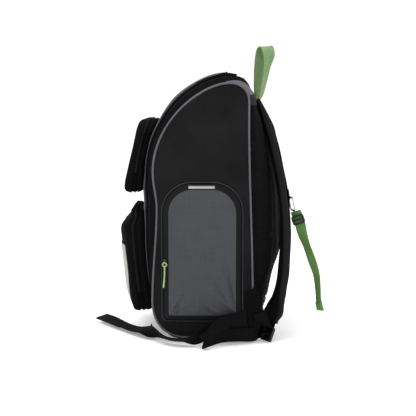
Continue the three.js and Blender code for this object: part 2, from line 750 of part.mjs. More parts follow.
function roundedRectangle(halfWidth, halfHeight, radius, path) {
  path.moveTo(-halfWidth + radius, -halfHeight);
  path.lineTo(halfWidth - radius, -halfHeight);
  path.absarc(halfWidth - radius, -halfHeight + radius, radius, -Math.PI / 2, 0);
  path.lineTo(halfWidth, halfHeight - radius);
  path.absarc(halfWidth - radius, halfHeight - radius, radius, 0, Math.PI / 2);
  path.lineTo(-halfWidth + radius, halfHeight);
  path.absarc(-halfWidth + radius, halfHeight - radius, radius, Math.PI / 2, Math.PI);
  path.lineTo(-halfWidth, -halfHeight + radius);
  path.absarc(-halfWidth + radius, -halfHeight + radius, radius, Math.PI, 1.5 * Math.PI);
  return path;
}

/** A moulded frame with cross bars, standing in the XZ plane. */
function frameWithBars({ width, height, thick, rim, bar, slots }) {
  const shape = roundedRectangle(width / 2, height / 2, 2.2, new THREE.Shape());
  const slotHeight = (height - 2 * rim - (slots - 1) * bar) / slots;
  for (let i = 0; i < slots; i++) {
    const middle = -height / 2 + rim + slotHeight / 2 + i * (slotHeight + bar);
    const [x, z] = [width / 2 - rim, slotHeight / 2];
    const hole = new THREE.Path();
    hole.moveTo(-x, middle - z);
    hole.lineTo(-x, middle + z);
    hole.lineTo(x, middle + z);
    hole.lineTo(x, middle - z);
    hole.closePath();
    shape.holes.push(hole);
  }
  return extrude(shape, thick).rotateX(Math.PI / 2);
}

// The haul loop, pinched at its foot and turned half towards the wearer's right
const HAUL_LINE = [
  { x: -11, y: 103.3, z: 434, across: [1, 0.2, 0] },
  { x: -18, y: 108.5, z: 460, across: [0.6, 0.8, 0] },
  { x: -18, y: 111, z: 490, across: [0.3, 1, 0] },
  { x: -12, y: 114, z: 516, across: [0.2, 1, 0] },
  { x: 1, y: 120, z: 528, across: [-0.3, 1, 0.1] },
  { x: 13, y: 124.5, z: 516, across: [-0.5, 1, 0.1] },
  { x: 17, y: 121, z: 490, across: [-1, 0.62, 0.1] },
  { x: 15, y: 116, z: 463, across: [-1, 0.45, 0] },
  { x: 11, y: 112, z: 438, across: [-1, 0.4, 0] },
];

// The chest strap's near half hangs from a steel ring on the right shoulder strap
const STERNUM_RING = { halfWidth: 13, halfHeight: 10, radius: 4, wire: 1.7 };
const STERNUM_RING_PLACE = { x: 96, y: 163.9, z: 243, lean: 12 };
const STERNUM_KEEPER_LINE = [
  { x: 90, y: 156.6, z: 268, across: [1, 0, 0] },
  { x: 92, y: 158.1, z: 258, across: [1, 0, 0] },
  { x: 93.5, y: 159.2, z: 250, across: [1, 0, 0] },
];
const STERNUM_LINE = [
  { x: 96, y: 170, z: 230, across: [0.4, 0.8, 0.45] },
  { x: 96, y: 173.5, z: 221, across: [0.3, 0.85, 0.45] },
  { x: 97, y: 178, z: 208, across: [0.3, 0.85, 0.43] },
  { x: 98, y: 183, z: 188, across: [0.55, 0.72, 0.42] },
  { x: 99, y: 191, z: 166, across: [0.78, 0.5, 0.37] },
  { x: 100, y: 200, z: 141, across: [0.72, 0.58, 0.38] },
  { x: 100, y: 208.5, z: 114, across: [0.84, 0.47, 0.27] },
  { x: 100, y: 211.5, z: 88, across: [0.92, 0.4, 0.1] },
  { x: 100, y: 213, z: 68, across: [0.92, 0.4, 0.1] },
  { x: 100, y: 217, z: 49, across: [0.85, 0.5, 0.1] },
];
const STERNUM_SLIDER = { width: 23.5, height: 17, thick: 3.2, rim: 2, bar: 2.6, seat: 1.3 };

function makeSternumRing() {
  const { halfWidth, halfHeight, radius, wire } = STERNUM_RING;
  const outline = roundedRectangle(halfWidth, halfHeight, radius, new THREE.Path());
  const line = outline.getSpacedPoints(20).slice(0, 20);
  const stations = line.map((p, i) => {
    const next = line[(i + 1) % line.length];
    const before = line[(i + line.length - 1) % line.length];
    const along = point(next.x - before.x, 0, next.y - before.y).normalize();
    const across = point(0, 1, 0);
    return { centre: point(p.x, 0, p.y), across, out: along.cross(across) };
  });
  return sweep(stations, () => roundSection(wire, 5), true);
}

// The right adjuster's free end: forward from the lock on its edge, doubled back up against the pocket,
// and out along the floor past the bag's front
const RIGHT_ADJUSTER_LINE = [
  { x: 142.6, y: 107.9, z: 6, across: [0.866, 0.5, 0.05] },
  { x: 149, y: 105, z: 9, across: [0.6, 0.5, 0.6] },
  { x: 158, y: 97, z: 13.5, across: [0.2, 0.1, 1] },
  { x: 167, y: 64, z: 19, across: [0.05, 0, 1] },
  { x: 177, y: 36, z: 19, across: [0.1, 0, 1] },
  { x: 190, y: 14, z: 15, across: [0.1, 0, 1] },
  { x: 199, y: 5, z: 14, across: [0.1, 0.1, 1] },
  { x: 199, y: 13, z: 23, across: [0, 0.3, 0.95] },
  { x: 193, y: 26, z: 37, across: [0, 0.35, 0.93] },
  { x: 187, y: 46, z: 47, across: [0, 0.25, 0.97] },
  { x: 183, y: 66, z: 51, across: [0, 0.1, 1] },
  { x: 179.5, y: 74, z: 51, across: [0, 0.05, 1] },
  { x: 176.5, y: 66, z: 49, across: [0, 0.15, 1] },
  { x: 178, y: 40, z: 44, across: [0, 0.3, 0.95] },
  { x: 181, y: 12, z: 28, across: [0, 0.35, 0.93] },
  { x: 182, y: -12, z: 14, across: [-0.1, 0.15, 0.95] },
  { x: 178, y: -36, z: 14, across: [0.55, -0.1, 0.65] },
  { x: 168, y: -59, z: 13, across: [0.55, -0.3, 0.6] },
  { x: 140, y: -82, z: 18, across: [0.38, -0.2, 0.66] },
  { x: 108, y: -103, z: 15, across: [-0.35, 0.6, 0.3] },
  { x: 80, y: -122, z: 10, across: [-0.45, 0.7, 0.15] },
  { x: 46, y: -146, z: 10, across: [-0.5, 0.78, 0.06] },
  { x: 6, y: -173, z: 12, across: [-0.5, 0.8, 0.2] },
  { x: -30, y: -195, z: 11, across: [-0.4, 0.85, 0.2] },
];

// The left adjuster lies plainly beside the bag
const LEFT_ADJUSTER_LINE = [
  { x: -142.6, y: 107.9, z: 6, across: [-0.866, 0.5, 0.05] },
  { x: -149, y: 105, z: 9, across: [-0.6, 0.5, 0.6] },
  { x: -158, y: 97, z: 13.5, across: [-0.2, 0.1, 1] },
  { x: -167, y: 62, z: 13.5, across: [0.1, 0, 1] },
  { x: -170, y: 24, z: 13.5, across: [0.2, 0, 1] },
  { x: -174, y: -10, z: 13.5, across: [0.25, 0, 1] },
  { x: -170, y: -44, z: 13.5, across: [0.25, 0, 1] },
];

// Assembly

const backpack = new THREE.Group();
backpack.name = "cycling_backpack";

function add(parent, name, geometry, material) {
  const mesh = new THREE.Mesh(geometry, materials[material]);
  mesh.name = name;
  parent.add(mesh);
  return mesh;
}

function addBody() {
  add(backpack, "base_panel", makeBase(), "blackCloth");
  add(backpack, "back_panel", makeBackPanel(), "blackCloth");
  add(backpack, "back_pad", makeBackPad(), "mesh");
  add(backpack, "front_panel", makeFrontPanel(), "greyCloth");
  add(backpack, "gusset_inner", makeGussetBand(PIPING.frontSeat, GUSSET.zipFrom - BAND_GAP), "blackCloth");
  add(backpack, "main_zip", makeGussetBand(GUSSET.zipFrom, GUSSET.zipTo), "zip");
  add(backpack, "gusset_outer", makeGussetBand(GUSSET.zipTo + BAND_GAP, GUSSET.width), "blackCloth");
  add(backpack, "yoke_panel", makeYoke(), "yokeCloth");
  add(backpack, "piping_front", makeFrontPiping(), "piping");
}

function addFrontPockets() {
  for (const [name, pocket] of [["upper_pocket", UPPER_POCKET], ["lower_pocket", LOWER_POCKET]]) {
    add(backpack, `${name}_gusset`, makeFrontPocketPart(pocket, "gusset"), "blackCloth");
    add(backpack, `${name}_zip`, makeFrontPocketPart(pocket, "zip"), "zip");
    add(backpack, `${name}_front`, makeFrontPocketPart(pocket, "front"), "blackCloth");
  }
  add(backpack, "lower_pocket_reflector", makeLowerReflector(), "reflective");
}

/** The pieces that the two sides share, built for the right and mirrored for the left. */
function addSide(side) {
  const group = new THREE.Group();
  group.scale.x = side === "right" ? 1 : -1;
  backpack.add(group);
  const addHere = (name, geometry, material) => add(group, `${name}_${side}`, geometry, material);

  addHere("side_panel", makeSidePanel(), "blackCloth");
  addHere("piping_side", makeSidePiping(), "piping");
  addHere("side_pocket_gusset", makeSidePocketGusset(), "blackCloth");
  addHere("side_pocket_face", makeSidePocketFace(), "greyCloth");
  addHere("side_pocket_seam", makeSidePocketSeam(), "piping");
  addHere("side_pocket_reflector", makeSidePocketReflector(), "reflective");

  const { y, z } = PULLER_PLACE;
  const slider = addHere("side_pocket_slider", makeSlider(), "plastic");
  slider.position.set(sideSurface(y, z) + SLIDER.seat, y - 1, z + 4);
  const puller = addHere("side_pocket_puller", makePuller(), "greenRubber");
  const pullerSeat = SLIDER.seat + (SLIDER.thick + PULLER.thick) / 2 + GAP;
  puller.position.set(sideSurface(y, z) + pullerSeat, y - 1, z);

  addHere("shoulder_strap", makeShoulderStrap(STRAP_LINES[side].strap), "mesh");
  addHere("strap_webbing", makeStrapWebbing(STRAP_LINES[side].strap), "blackWebbing");
  addHere("strap_end", webbing(STRAP_LINES[side].end, WEBBING.strap, 6), "blackWebbing");
  addHere("strap_anchor", makeAnchor(), "blackCloth");
  addHere("anchor_webbing", webbing(ANCHOR_WEBBING_LINE, WEBBING.strap, 6), "blackWebbing");

  const lock = addHere("ladder_lock", frameWithBars({ ...LADDER_LOCK, slots: 2 }), "plastic");
  lock.position.set(LADDER_LOCK_PLACE.x, LADDER_LOCK_PLACE.y, LADDER_LOCK_PLACE.z);
  lock.rotation.set(
    THREE.MathUtils.degToRad(LADDER_LOCK_PLACE.lean),
    0,
    THREE.MathUtils.degToRad(LADDER_LOCK_PLACE.yaw),
    "ZXY",
  );
}

function addChestStrap() {
  const lean = THREE.MathUtils.degToRad(STERNUM_RING_PLACE.lean);
  const ring = add(backpack, "sternum_ring", makeSternumRing(), "steel");
  ring.position.set(STERNUM_RING_PLACE.x, STERNUM_RING_PLACE.y, STERNUM_RING_PLACE.z);
  ring.rotation.x = lean;
  add(backpack, "sternum_keeper", webbing(STERNUM_KEEPER_LINE, WEBBING.keeper, 4), "blackWebbing");
  add(backpack, "sternum_webbing", webbing(STERNUM_LINE, WEBBING.sternum, 24), "greenWebbing");

  // The slider lies on the webbing a little below the ring
  const { centre, across, out } = ribbonStations(STERNUM_LINE, 24)[4];
  const face = out.x > 0 ? out : out.clone().negate();
  const up = across.clone().cross(face);
  const slider = add(backpack, "sternum_slider", frameWithBars({ ...STERNUM_SLIDER, slots: 2 }), "plastic");
  slider.quaternion.setFromRotationMatrix(new THREE.Matrix4().makeBasis(across, face, up));
  const away = STERNUM_SLIDER.thick / 2 + WEBBING.thick / 2 + STERNUM_SLIDER.seat;
  slider.position.copy(centre).addScaledVector(face, away);
}

function addAdjusters() {
  add(backpack, "adjuster_webbing_right", webbing(RIGHT_ADJUSTER_LINE, WEBBING.adjuster, 54), "blackWebbing");
  add(backpack, "adjuster_webbing_left", webbing(LEFT_ADJUSTER_LINE, WEBBING.adjuster, 24), "blackWebbing");
}

addBody();
addFrontPockets();
addSide("right");
addSide("left");
add(backpack, "haul_loop", webbing(HAUL_LINE, WEBBING.haul, 26), "greenWebbing");
addChestStrap();
addAdjusters();

export default backpack;
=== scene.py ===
"""Cycling backpack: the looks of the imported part, built round its frame and laid out as a Blender add-on.

Sizes in the tables are millimetres in the part's own frame: +Z up, -Y out of the bag's front,
+Y towards the wearer, +X to the wearer's right. Blender's objects are in metres.
"""

import math
from collections import namedtuple

import bpy
import numpy as np
from mathutils import Euler, Matrix, Vector


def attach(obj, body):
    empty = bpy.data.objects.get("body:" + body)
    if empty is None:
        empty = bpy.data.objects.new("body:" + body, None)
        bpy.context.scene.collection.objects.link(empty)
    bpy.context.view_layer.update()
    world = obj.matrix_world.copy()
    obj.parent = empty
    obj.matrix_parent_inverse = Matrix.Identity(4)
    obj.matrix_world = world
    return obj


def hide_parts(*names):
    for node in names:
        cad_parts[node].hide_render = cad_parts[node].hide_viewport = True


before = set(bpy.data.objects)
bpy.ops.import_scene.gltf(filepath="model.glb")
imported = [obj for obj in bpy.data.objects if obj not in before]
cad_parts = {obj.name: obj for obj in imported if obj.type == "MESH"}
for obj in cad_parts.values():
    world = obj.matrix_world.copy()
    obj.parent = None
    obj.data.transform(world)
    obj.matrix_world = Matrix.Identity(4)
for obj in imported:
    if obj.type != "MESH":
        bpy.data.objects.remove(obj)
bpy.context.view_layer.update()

bl_info = {
    "name": "Cycling backpack",
    "version": (1, 0, 0),
    "blender": (4, 5, 0),
    "location": "3D View > Sidebar > Backpack",
    "description": "Sews a cycling backpack round its packed frame",
    "category": "Object",
}

MM = 0.001
CLOTH_MAP = "cloth"  # the map that follows the threads, in metres
SIDES = ("right", "left")
RIGHTWARD, BACKWARD, UPWARD = np.eye(3)

# Form of the bag, as in the part's source

HALF_WIDTH = 150
BODY_CENTRE = np.array([0.0, 0.0, 230.0])
SIDE_BULGE = {"rise": 8, "half_depth": 86, "middle": 215, "half_height": 230}
FRONT_EDGE = {"half_width": 112, "low": 40, "high": 549, "corner": 22}
GUSSET = {"width": 35.2, "zip_from": 14, "zip_to": 21, "gap": 0.7, "tuck": 1.8}
YOKE_START = 582
YOKE_END = 611
YOKE_HEM = 413  # height of the yoke's turned edge, where the back panel begins
YOKE_SEAM = 594  # below it the yoke is backed with black cloth
SIDE_TOP = 547
CROWN_POWER = 5
PIPING = {"radius": 1.9, "front_radius": 1.5, "seat": 1.4, "front_seat": 1.2, "lid_from": -8}

# Side outline at the seam as (y, z): where each curved stretch leaves, arrives and ends
Stretch = namedtuple("Stretch", "leave arrive end")
FRONT_START = (-25, 11)
FRONT_STRETCHES = (
    Stretch((-62, 12), (-86, 32), (-86, 75)),
    Stretch((-86, 130), (-77.5, 190), (-77.5, 240)),
    Stretch((-77.5, 262), (-84.5, 280), (-84.5, 305)),
    Stretch((-83, 392), (0, 458.5), (50, 458.5)),
    Stretch((70, 458.5), (83.5, 446), (83.5, 425)),
    Stretch((83.5, 418), (83.3, 412), (83.3, 405)),
)
BACK_START = (83.3, 405)
BACK_STRETCHES = (
    Stretch((83, 290), (91, 180), (91, 60)),
    Stretch((91, 30), (88, 10), (70, 10)),
)

# How far the middle of the front stands out from the seam, by the distance along the outline
FRONT_CROWN = np.array([
    (0, 10), (95, 2.6), (122, 6.5), (143, 13), (166, 18), (200, 24), (260, 29), (300, 25), (324, 19),
    (352, 18), (412, 20), (457, 24), (502, 23.5), (547, 21), (572, 15), (586, 12), (600, 16), (615, 18),
])

# Thickness of the back pad by height
PAD_THICKNESS = np.array([
    (24, 8), (40, 19), (85, 27), (107, 34), (130, 40.5), (178, 44.5), (250, 44), (291, 42), (340, 37),
    (377, 30), (397, 25.5), (415, 18), (425, 12),
])
PAD = {"half_width": 128, "low": 26, "high": 425, "edge": 7, "channel": 7, "channel_half_width": 20}
PAD_SEAMS = (108, 187, 300)  # heights of the sewn lines across the pad

# Pockets. Rings are (inset from the outline, depth); a negative inset stands outside the outline.
PocketOutline = namedtuple("PocketOutline", "middle half_width low high top_radius low_radius")
FrontPocket = namedtuple("FrontPocket", "outline face_top face_low shoulder_height shoulder_depth rings tip")
FLAT_FRONT = ((-4.2, 0.605), (-5.8, 0.62), (-5.2, 0.67), (-3, 0.86), (0.5, 0.97), (7, 1.03), (34, 1.12))
FULL_FRONT = ((-4.2, 0.605), (-5.8, 0.62), (-5.7, 0.7), (-4.8, 0.79), (-1.5, 0.86), (8, 0.93), (34, 1.12))
UPPER_POCKET = FrontPocket(
    PocketOutline(0, 84, 266, 391, 24, 20), (-113, 390), (-139, 275), 0, 0, FLAT_FRONT, 1.18
)
LOWER_POCKET = FrontPocket(
    PocketOutline(0, 102, 52, 227, 30, 16), (-145, 210), (-130, 58), 24, 14.5, FULL_FRONT, 1.22
)
POCKET_SEAT = 0.9
POCKET_GUSSET = ((0, 0), (-3.2, 0.14), (-4.2, 0.24), (-3.4, 0.33), (-5.4, 0.42), (-5.9, 0.455), (-4.4, 0.47))
POCKET_ZIP = ((-3.6, 0.465), (-3.8, 0.54), (-3.4, 0.61))
LOWER_REFLECTOR = {"half_width": 96, "low": 72, "high": 168, "lift": 1.3}

SIDE_POCKET = PocketOutline(2, 69, 43, 285, 52, 8)
SIDE_GUSSET = ((0, 1.2), (1, 5), (2.5, 8), (4.4, 10.4), (8.6, 14.5), (9.4, 14.9))
SIDE_FACE = ((10, 14.4), (10.6, 15.6), (13, 16.2), (38, 19.6), (70, 21))
SIDE_ZIP = {"inset": 5.6, "low": 96}  # how far inside the outline it runs, and the height of its ends
SIDE_SAG = {"depth": 3, "rise": 45, "fall": 110}  # the face sags outward above its lower edge
SIDE_REFLECTOR = {"front": -22, "rear": 24}
PULLER = {"ring": 3.3, "wire": 1.15, "bar": 1.55, "length": 41, "place": (-63.5, 144)}
SLIDER_SEAT = 15.3
PULLER_SEAT = 18.7

# Straps and webbing: each row gives a place and the way that the width lies there
Lie = namedtuple("Lie", "x y z across")
STRAP = {"width": 64, "thick": 15, "steps": 192}
# Share of the strap's length, with its width and thickness there
STRAP_SHAPE = np.array([
    (0, 1, 0.5), (0.11, 1, 1), (0.75, 1, 1), (0.85, 0.85, 0.9), (0.93, 0.68, 0.7), (1, 0.4, 0.4),
])
# Half of the strap's section, from its middle: share of the half width and of the half thickness
STRAP_SECTION = np.array([
    (0, 1), (0.3, 1), (0.6, 0.96), (0.8, 0.8), (0.85, 0.66), (0.88, 0.62), (0.94, 0.6), (0.985, 0.42),
    (1, 0.1),
])
# Binding folded over the strap's edge: share of its reach from the edge and of its height
BINDING_FOLD = np.array([
    (-1, 0.55), (-1, 1), (-0.5, 1), (0, 0.82), (0.16, 0.4), (0.2, 0),
    (0.16, -0.4), (0, -0.82), (-0.5, -1), (-1, -1), (-1, -0.55),
])
BINDING_REACH = 4.6
RIGHT_STRAP_LINE = (
    Lie(47, 104, 427, (1, 0, 0)),
    Lie(51, 113.5, 404, (1, 0, 0)),
    Lie(56, 120, 385, (1, 0, 0)),
    Lie(62, 126.5, 363, (1, 0, 0)),
    Lie(72, 134.5, 327, (1, 0, 0)),
    Lie(83, 143.5, 282, (1, 0, 0)),
    Lie(93, 149.5, 233, (1, 0, 0)),
    Lie(102, 150.5, 177, (1, 0.02, 0)),
    Lie(108, 148, 131, (1, 0.05, 0)),
    Lie(113, 143.5, 97, (1, 0.06, 0)),
    Lie(117, 138.8, 77, (1, 0.12, 0)),
    Lie(122, 132.5, 61, (0.95, 0.32, 0)),
    Lie(128.5, 127, 45, (0.8, 0.6, 0)),
    Lie(132.4, 124.8, 32, (0.85, 0.52, 0)),
)
# The left strap comes in to the pad sooner and is turned a little; both are given for the right and mirrored
LEFT_STRAP_LINE = (
    *RIGHT_STRAP_LINE[:3],
    Lie(62, 125.8, 363, (1, 0.03, 0)),
    Lie(72, 132.4, 327, (1, 0.08, 0)),
    Lie(83, 142, 282, (1, 0.18, 0)),
    Lie(93, 149, 233, (1, 0.28, 0)),
    Lie(102, 149, 177, (1, 0.2, 0)),
    Lie(107, 147, 135, (1, 0.12, 0)),
    Lie(112, 135, 96, (1, 0.1, 0)),
    Lie(121, 129, 66, (1, 0.15, 0)),
    Lie(131, 125, 40, (1, 0.3, 0)),
    Lie(132.8, 124.2, 32, (0.9, 0.42, 0)),
)
WEBBING = {"adjuster": 25, "strap": 24, "haul": 25, "sternum": 20, "keeper": 18, "thick": 1.8}
RIGHT_STRAP_END_LINE = (
    Lie(129.4, 126.7, 42.9, (0.8, 0.6, 0)),
    Lie(131.2, 125.4, 36, (0.83, 0.55, 0)),
    Lie(133.1, 124.1, 28.1, (0.866, 0.5, 0)),
    Lie(135.4, 119.9, 17, (0.866, 0.5, 0)),
    Lie(137.8, 115.9, 4.4, (0.866, 0.5, 0)),
)
LEFT_STRAP_END_LINE = (
    Lie(131.8, 124.6, 37.9, (0.95, 0.38, 0)),
    Lie(132.5, 124.2, 33.4, (0.9, 0.45, 0)),
    Lie(133, 124, 29.4, (0.866, 0.5, 0)),
    *RIGHT_STRAP_END_LINE[-2:],
)
STRAP_LINES = {"right": RIGHT_STRAP_LINE, "left": LEFT_STRAP_LINE}
STRAP_END_LINES = {"right": RIGHT_STRAP_END_LINE, "left": LEFT_STRAP_END_LINE}
ANCHOR_LINE = (
    Lie(157.6, 103, 56, (0, 0.85, 0.5)),
    Lie(158, 107, 44, (0.05, 0.9, 0.3)),
    Lie(150, 112.5, 33, (0.6, 0.7, 0.1)),
    Lie(136.5, 119.3, 25.2, (0.866, 0.5, 0)),
)
ANCHOR = {
    "outline": ((78, 88), (94, 103), (104, 84), (110, 62), (108, 40), (100, 23), (84, 25)),
    "thick": 2.4,
    "x": 154.6,
}
LADDER_LOCK = {"half_width": 15.5, "half_height": 13.5, "thick": 4.5, "rim": 4, "place": (136, 119, 14)}
LADDER_LOCK_TURN = {"yaw": 30, "lean": -22}
HAUL_LINE = (
    Lie(-8, 101.5, 426, (1, 0.1, 0)),
    Lie(-11, 103.3, 434, (1, 0.2, 0)),
    Lie(-18, 108.5, 460, (0.6, 0.8, 0)),
    Lie(-18, 111, 490, (0.3, 1, 0)),
    Lie(-12, 114, 516, (0.2, 1, 0)),
    Lie(1, 120, 528, (-0.3, 1, 0.1)),
    Lie(13, 124.5, 516, (-0.5, 1, 0.1)),
    Lie(17, 121, 490, (-1, 0.62, 0.1)),
    Lie(15, 116, 463, (-1, 0.45, 0)),
    Lie(11, 110.5, 438, (-1, 0.3, 0)),
    Lie(9, 105, 427, (-1, 0.15, 0)),
)
STERNUM_RING = {"half_width": 13, "half_height": 12, "corner": 4, "wire": 2, "place": (96, 163.9, 243)}
STERNUM_RING_TURN = {"yaw": 12, "lean": 12}
KEEPER_LINE = (
    Lie(90, 156.6, 268, (1, 0, 0)),
    Lie(92, 158.1, 258, (1, 0, 0)),
    Lie(93.5, 159.2, 250, (1, 0, 0)),
)
STERNUM_LINE = (
    Lie(96, 170, 230, (0.4, 0.8, 0.45)),
    Lie(96, 173.5, 221, (0.3, 0.85, 0.45)),
    Lie(97, 178, 208, (0.3, 0.85, 0.43)),
    Lie(98, 183, 188, (0.55, 0.72, 0.42)),
    Lie(99, 191, 166, (0.78, 0.5, 0.37)),
    Lie(100, 200, 141, (0.72, 0.58, 0.38)),
    Lie(100, 208.5, 114, (0.84, 0.47, 0.27)),
    Lie(100, 211.5, 88, (0.92, 0.4, 0.1)),
    Lie(100, 213, 68, (0.92, 0.4, 0.1)),
    Lie(100, 217, 49, (0.85, 0.5, 0.1)),
)
STERNUM_SLIDER = {"half_width": 11.75, "half_height": 8.5, "thick": 3.2, "rim": 3, "at": 1 / 6, "seat": 1.3}
RIGHT_ADJUSTER_LINE = (
    Lie(122, 121, 15, (0, 0.1, 1)),
    Lie(121, 112, 15.5, (0, 0.1, 1)),
    Lie(130, 103.5, 16, (0, 0.1, 1)),
    Lie(147, 98, 16, (0, 0.1, 1)),
    Lie(160, 86, 17, (0.1, 0, 1)),
    Lie(167, 64, 19, (0.05, 0, 1)),
    Lie(177, 36, 19, (0.1, 0, 1)),
    Lie(190, 14, 15, (0.1, 0, 1)),
    Lie(199, 5, 14, (0.1, 0.1, 1)),
    Lie(199, 13, 23, (0, 0.3, 0.95)),
    Lie(193, 26, 37, (0, 0.35, 0.93)),
    Lie(187, 46, 47, (0, 0.25, 0.97)),
    Lie(183, 66, 51, (0, 0.1, 1)),
    Lie(179.5, 74, 51, (0, 0.05, 1)),
    Lie(176.5, 66, 49, (0, 0.15, 1)),
    Lie(178, 40, 44, (0, 0.3, 0.95)),
    Lie(181, 12, 28, (0, 0.35, 0.93)),
    Lie(182, -12, 13, (0.4, 0.1, 0.6)),
    Lie(178, -36, 12, (0.8, -0.1, 0.36)),
    Lie(168, -57, 12.5, (0.75, -0.3, 0.42)),
    Lie(142, -81, 18, (0.38, -0.2, 0.66)),
    Lie(108, -103, 15, (-0.35, 0.6, 0.3)),
    Lie(80, -122, 10, (-0.45, 0.7, 0.15)),
    Lie(46, -146, 10, (-0.5, 0.78, 0.06)),
    Lie(6, -173, 12, (-0.5, 0.8, 0.2)),
    Lie(-30, -195, 11, (-0.4, 0.85, 0.2)),
)
LEFT_ADJUSTER_LINE = (
    Lie(-122, 121, 15, (0, 0.1, 1)),
    Lie(-121, 112, 15.5, (0, 0.1, 1)),
    Lie(-130, 103.5, 16, (0, 0.1, 1)),
    Lie(-147, 98, 15, (0, 0.1, 1)),
    Lie(-160, 86, 13.5, (0, 0, 1)),
    Lie(-167, 62, 13.5, (0.1, 0, 1)),
    Lie(-170, 24, 13.5, (0.2, 0, 1)),
    Lie(-174, -10, 13.5, (0.25, 0, 1)),
    Lie(-170, -44, 13.5, (0.25, 0, 1)),
)
HEM_LENGTH = {"adjuster": 96, "sternum": 15}

# Creases in the side pocket's face: the corner they start from, their angle in the (y, z) plane, and size
Crease = namedtuple("Crease", "y z angle length width height")
SIDE_CREASES = (
    Crease(-57, 53, 62, 66, 4.5, 5.0),
    Crease(-56, 54, 36, 50, 4.2, 3.2),
    Crease(-40, 53, 96, 44, 6, -2.8),
    Crease(60, 56, 118, 104, 4.6, 7.2),
    Crease(60, 60, 138, 66, 4, 5.6),
    Crease(58, 70, 104, 96, 5.2, -5.0),
    Crease(38, 54, 150, 50, 4, 4.2),
    Crease(22, 52, 128, 58, 6, -3.2),
)


# Settings

def linear(red, green, blue):
    """A colour given in sRGB values from 0 to 255, in Blender's linear values."""
    shares = (red / 255, green / 255, blue / 255)
    return tuple(s / 12.92 if s <= 0.04045 else ((s + 0.055) / 1.055) ** 2.4 for s in shares) + (1.0,)


def colour_setting(name, description, *srgb):
    return bpy.props.FloatVectorProperty(
        name=name, description=description, subtype="COLOR", size=4, min=0, max=1, default=linear(*srgb)
    )


def length_setting(name, description, default):
    return bpy.props.FloatProperty(
        name=name, description=description, unit="LENGTH", min=0, precision=5, default=default * MM
    )


class BackpackColours(bpy.types.PropertyGroup):
    """Colours of the cloths, webbing and fittings"""

    black_cloth: colour_setting("Black cloth", "Coated cloth of the body and pockets", 20, 20, 21)
    # The body's black cloth, darkened by painted shade and given a duller finish
    dull_cloth_painted_shade: colour_setting(
        "Pocket cloth", "Duller cloth of the gussets, front pockets and anchor wings", 13, 13, 14
    )
    grey_cloth: colour_setting("Grey cloth", "Cloth of the side pocket faces and the lid", 58, 59, 63)
    yoke_cloth: colour_setting("Yoke cloth", "Cloth of the yoke behind the lid", 78, 78, 84)
    pad_mesh: colour_setting("Pad mesh", "Open mesh over the padding", 13, 13, 14)
    piping: colour_setting("Piping", "Piping along the bag's edges", 76, 76, 82)
    front_piping: colour_setting("Front piping", "Piping round the front panel", 48, 48, 52)
    # Lighter than the black cloth: a painted highlight along the pockets' folded seam
    seam_piping_highlight: colour_setting("Seam piping", "Thin piping round the side pockets", 39, 39, 42)
    black_webbing: colour_setting("Black webbing", "Tapes, anchors and adjusters", 13, 13, 14)
    binding: colour_setting("Binding", "Ribbed tape bound over the shoulder straps' edges", 21, 21, 22)
    green_webbing: colour_setting("Green webbing", "Haul loop", 117, 145, 96)
    chest_webbing: colour_setting("Chest webbing", "Webbing of the chest strap", 95, 134, 70)
    green_rubber: colour_setting("Green rubber", "Zip pullers", 128, 160, 98)
    black_plastic: colour_setting("Black plastic", "Locks, sliders and zip teeth", 16, 16, 17)
    steel: colour_setting("Steel", "Ring of the chest strap", 228, 229, 225)
    reflective: colour_setting("Reflective", "Reflective strips and panel", 132, 131, 125)
    thread: colour_setting("Thread", "Sewing thread", 30, 30, 32)


class BackpackSizes(bpy.types.PropertyGroup):
    """Sizes of the cloth's detail"""

    weave_pitch: length_setting("Weave pitch", "Distance between the cloth's threads", 0.7)
    webbing_pitch: length_setting("Webbing pitch", "Distance between the webbing's ribs", 1.5)
    mesh_pitch: length_setting("Mesh pitch", "Distance between the holes of the pad's mesh", 5.4)
    stitch_length: length_setting("Stitch length", "Length of one stitch", 2.6)
    stitch_gap: length_setting("Stitch gap", "Space between two stitches", 1.2)
    thread_radius: length_setting("Thread radius", "Radius of the sewing thread", 0.3)
    zip_pitch: length_setting("Zip pitch", "Distance between the zip's teeth", 2.2)
    swell: length_setting("Cloth swell", "How far loose cloth swells and sinks", 0.8)
    pad_puff: length_setting("Pad puff", "Furthest that the padding swells between its seams", 5)
    strap_puff: length_setting("Strap puff", "Furthest that a shoulder strap swells between its seams", 1.5)


class BackpackStudio(bpy.types.PropertyGroup):
    """Floor, lights and camera"""

    floor_colour: colour_setting("Floor", "Pale floor", 250, 250, 250)
    floor_glow: bpy.props.FloatProperty(
        name="Floor glow", description="Light that the floor gives of itself", min=0, default=0.22
    )
    camera_place: bpy.props.FloatVectorProperty(
        name="Camera place", description="Where the camera stands", subtype="TRANSLATION", unit="LENGTH",
        default=(1.950, 0.012, 0.430),
    )
    camera_pitch: bpy.props.FloatProperty(
        name="Camera pitch", description="How far the camera looks down", subtype="ANGLE",
        default=math.radians(5.99),
    )
    lens: bpy.props.FloatProperty(
        name="Lens", description="Focal length in millimetres on a 36 mm sensor", min=10, default=89.42
    )
    sky_strength: bpy.props.FloatProperty(
        name="Room light", description="Strength of the white room", min=0, default=1.08
    )
    top_power: bpy.props.FloatProperty(
        name="Top light", description="Power of the soft box overhead, in watts", min=0, default=22
    )
    side_power: bpy.props.FloatProperty(
        name="Side light", description="Power of the soft box beside the camera, in watts", min=0, default=5
    )


# Curves

def unit(vectors):
    return vectors / np.linalg.norm(vectors, axis=-1, keepdims=True)


def distance_along(points):
    """Distance travelled at each point of a line."""
    return np.concatenate([[0.0], np.cumsum(np.linalg.norm(np.diff(points, axis=0), axis=-1))])


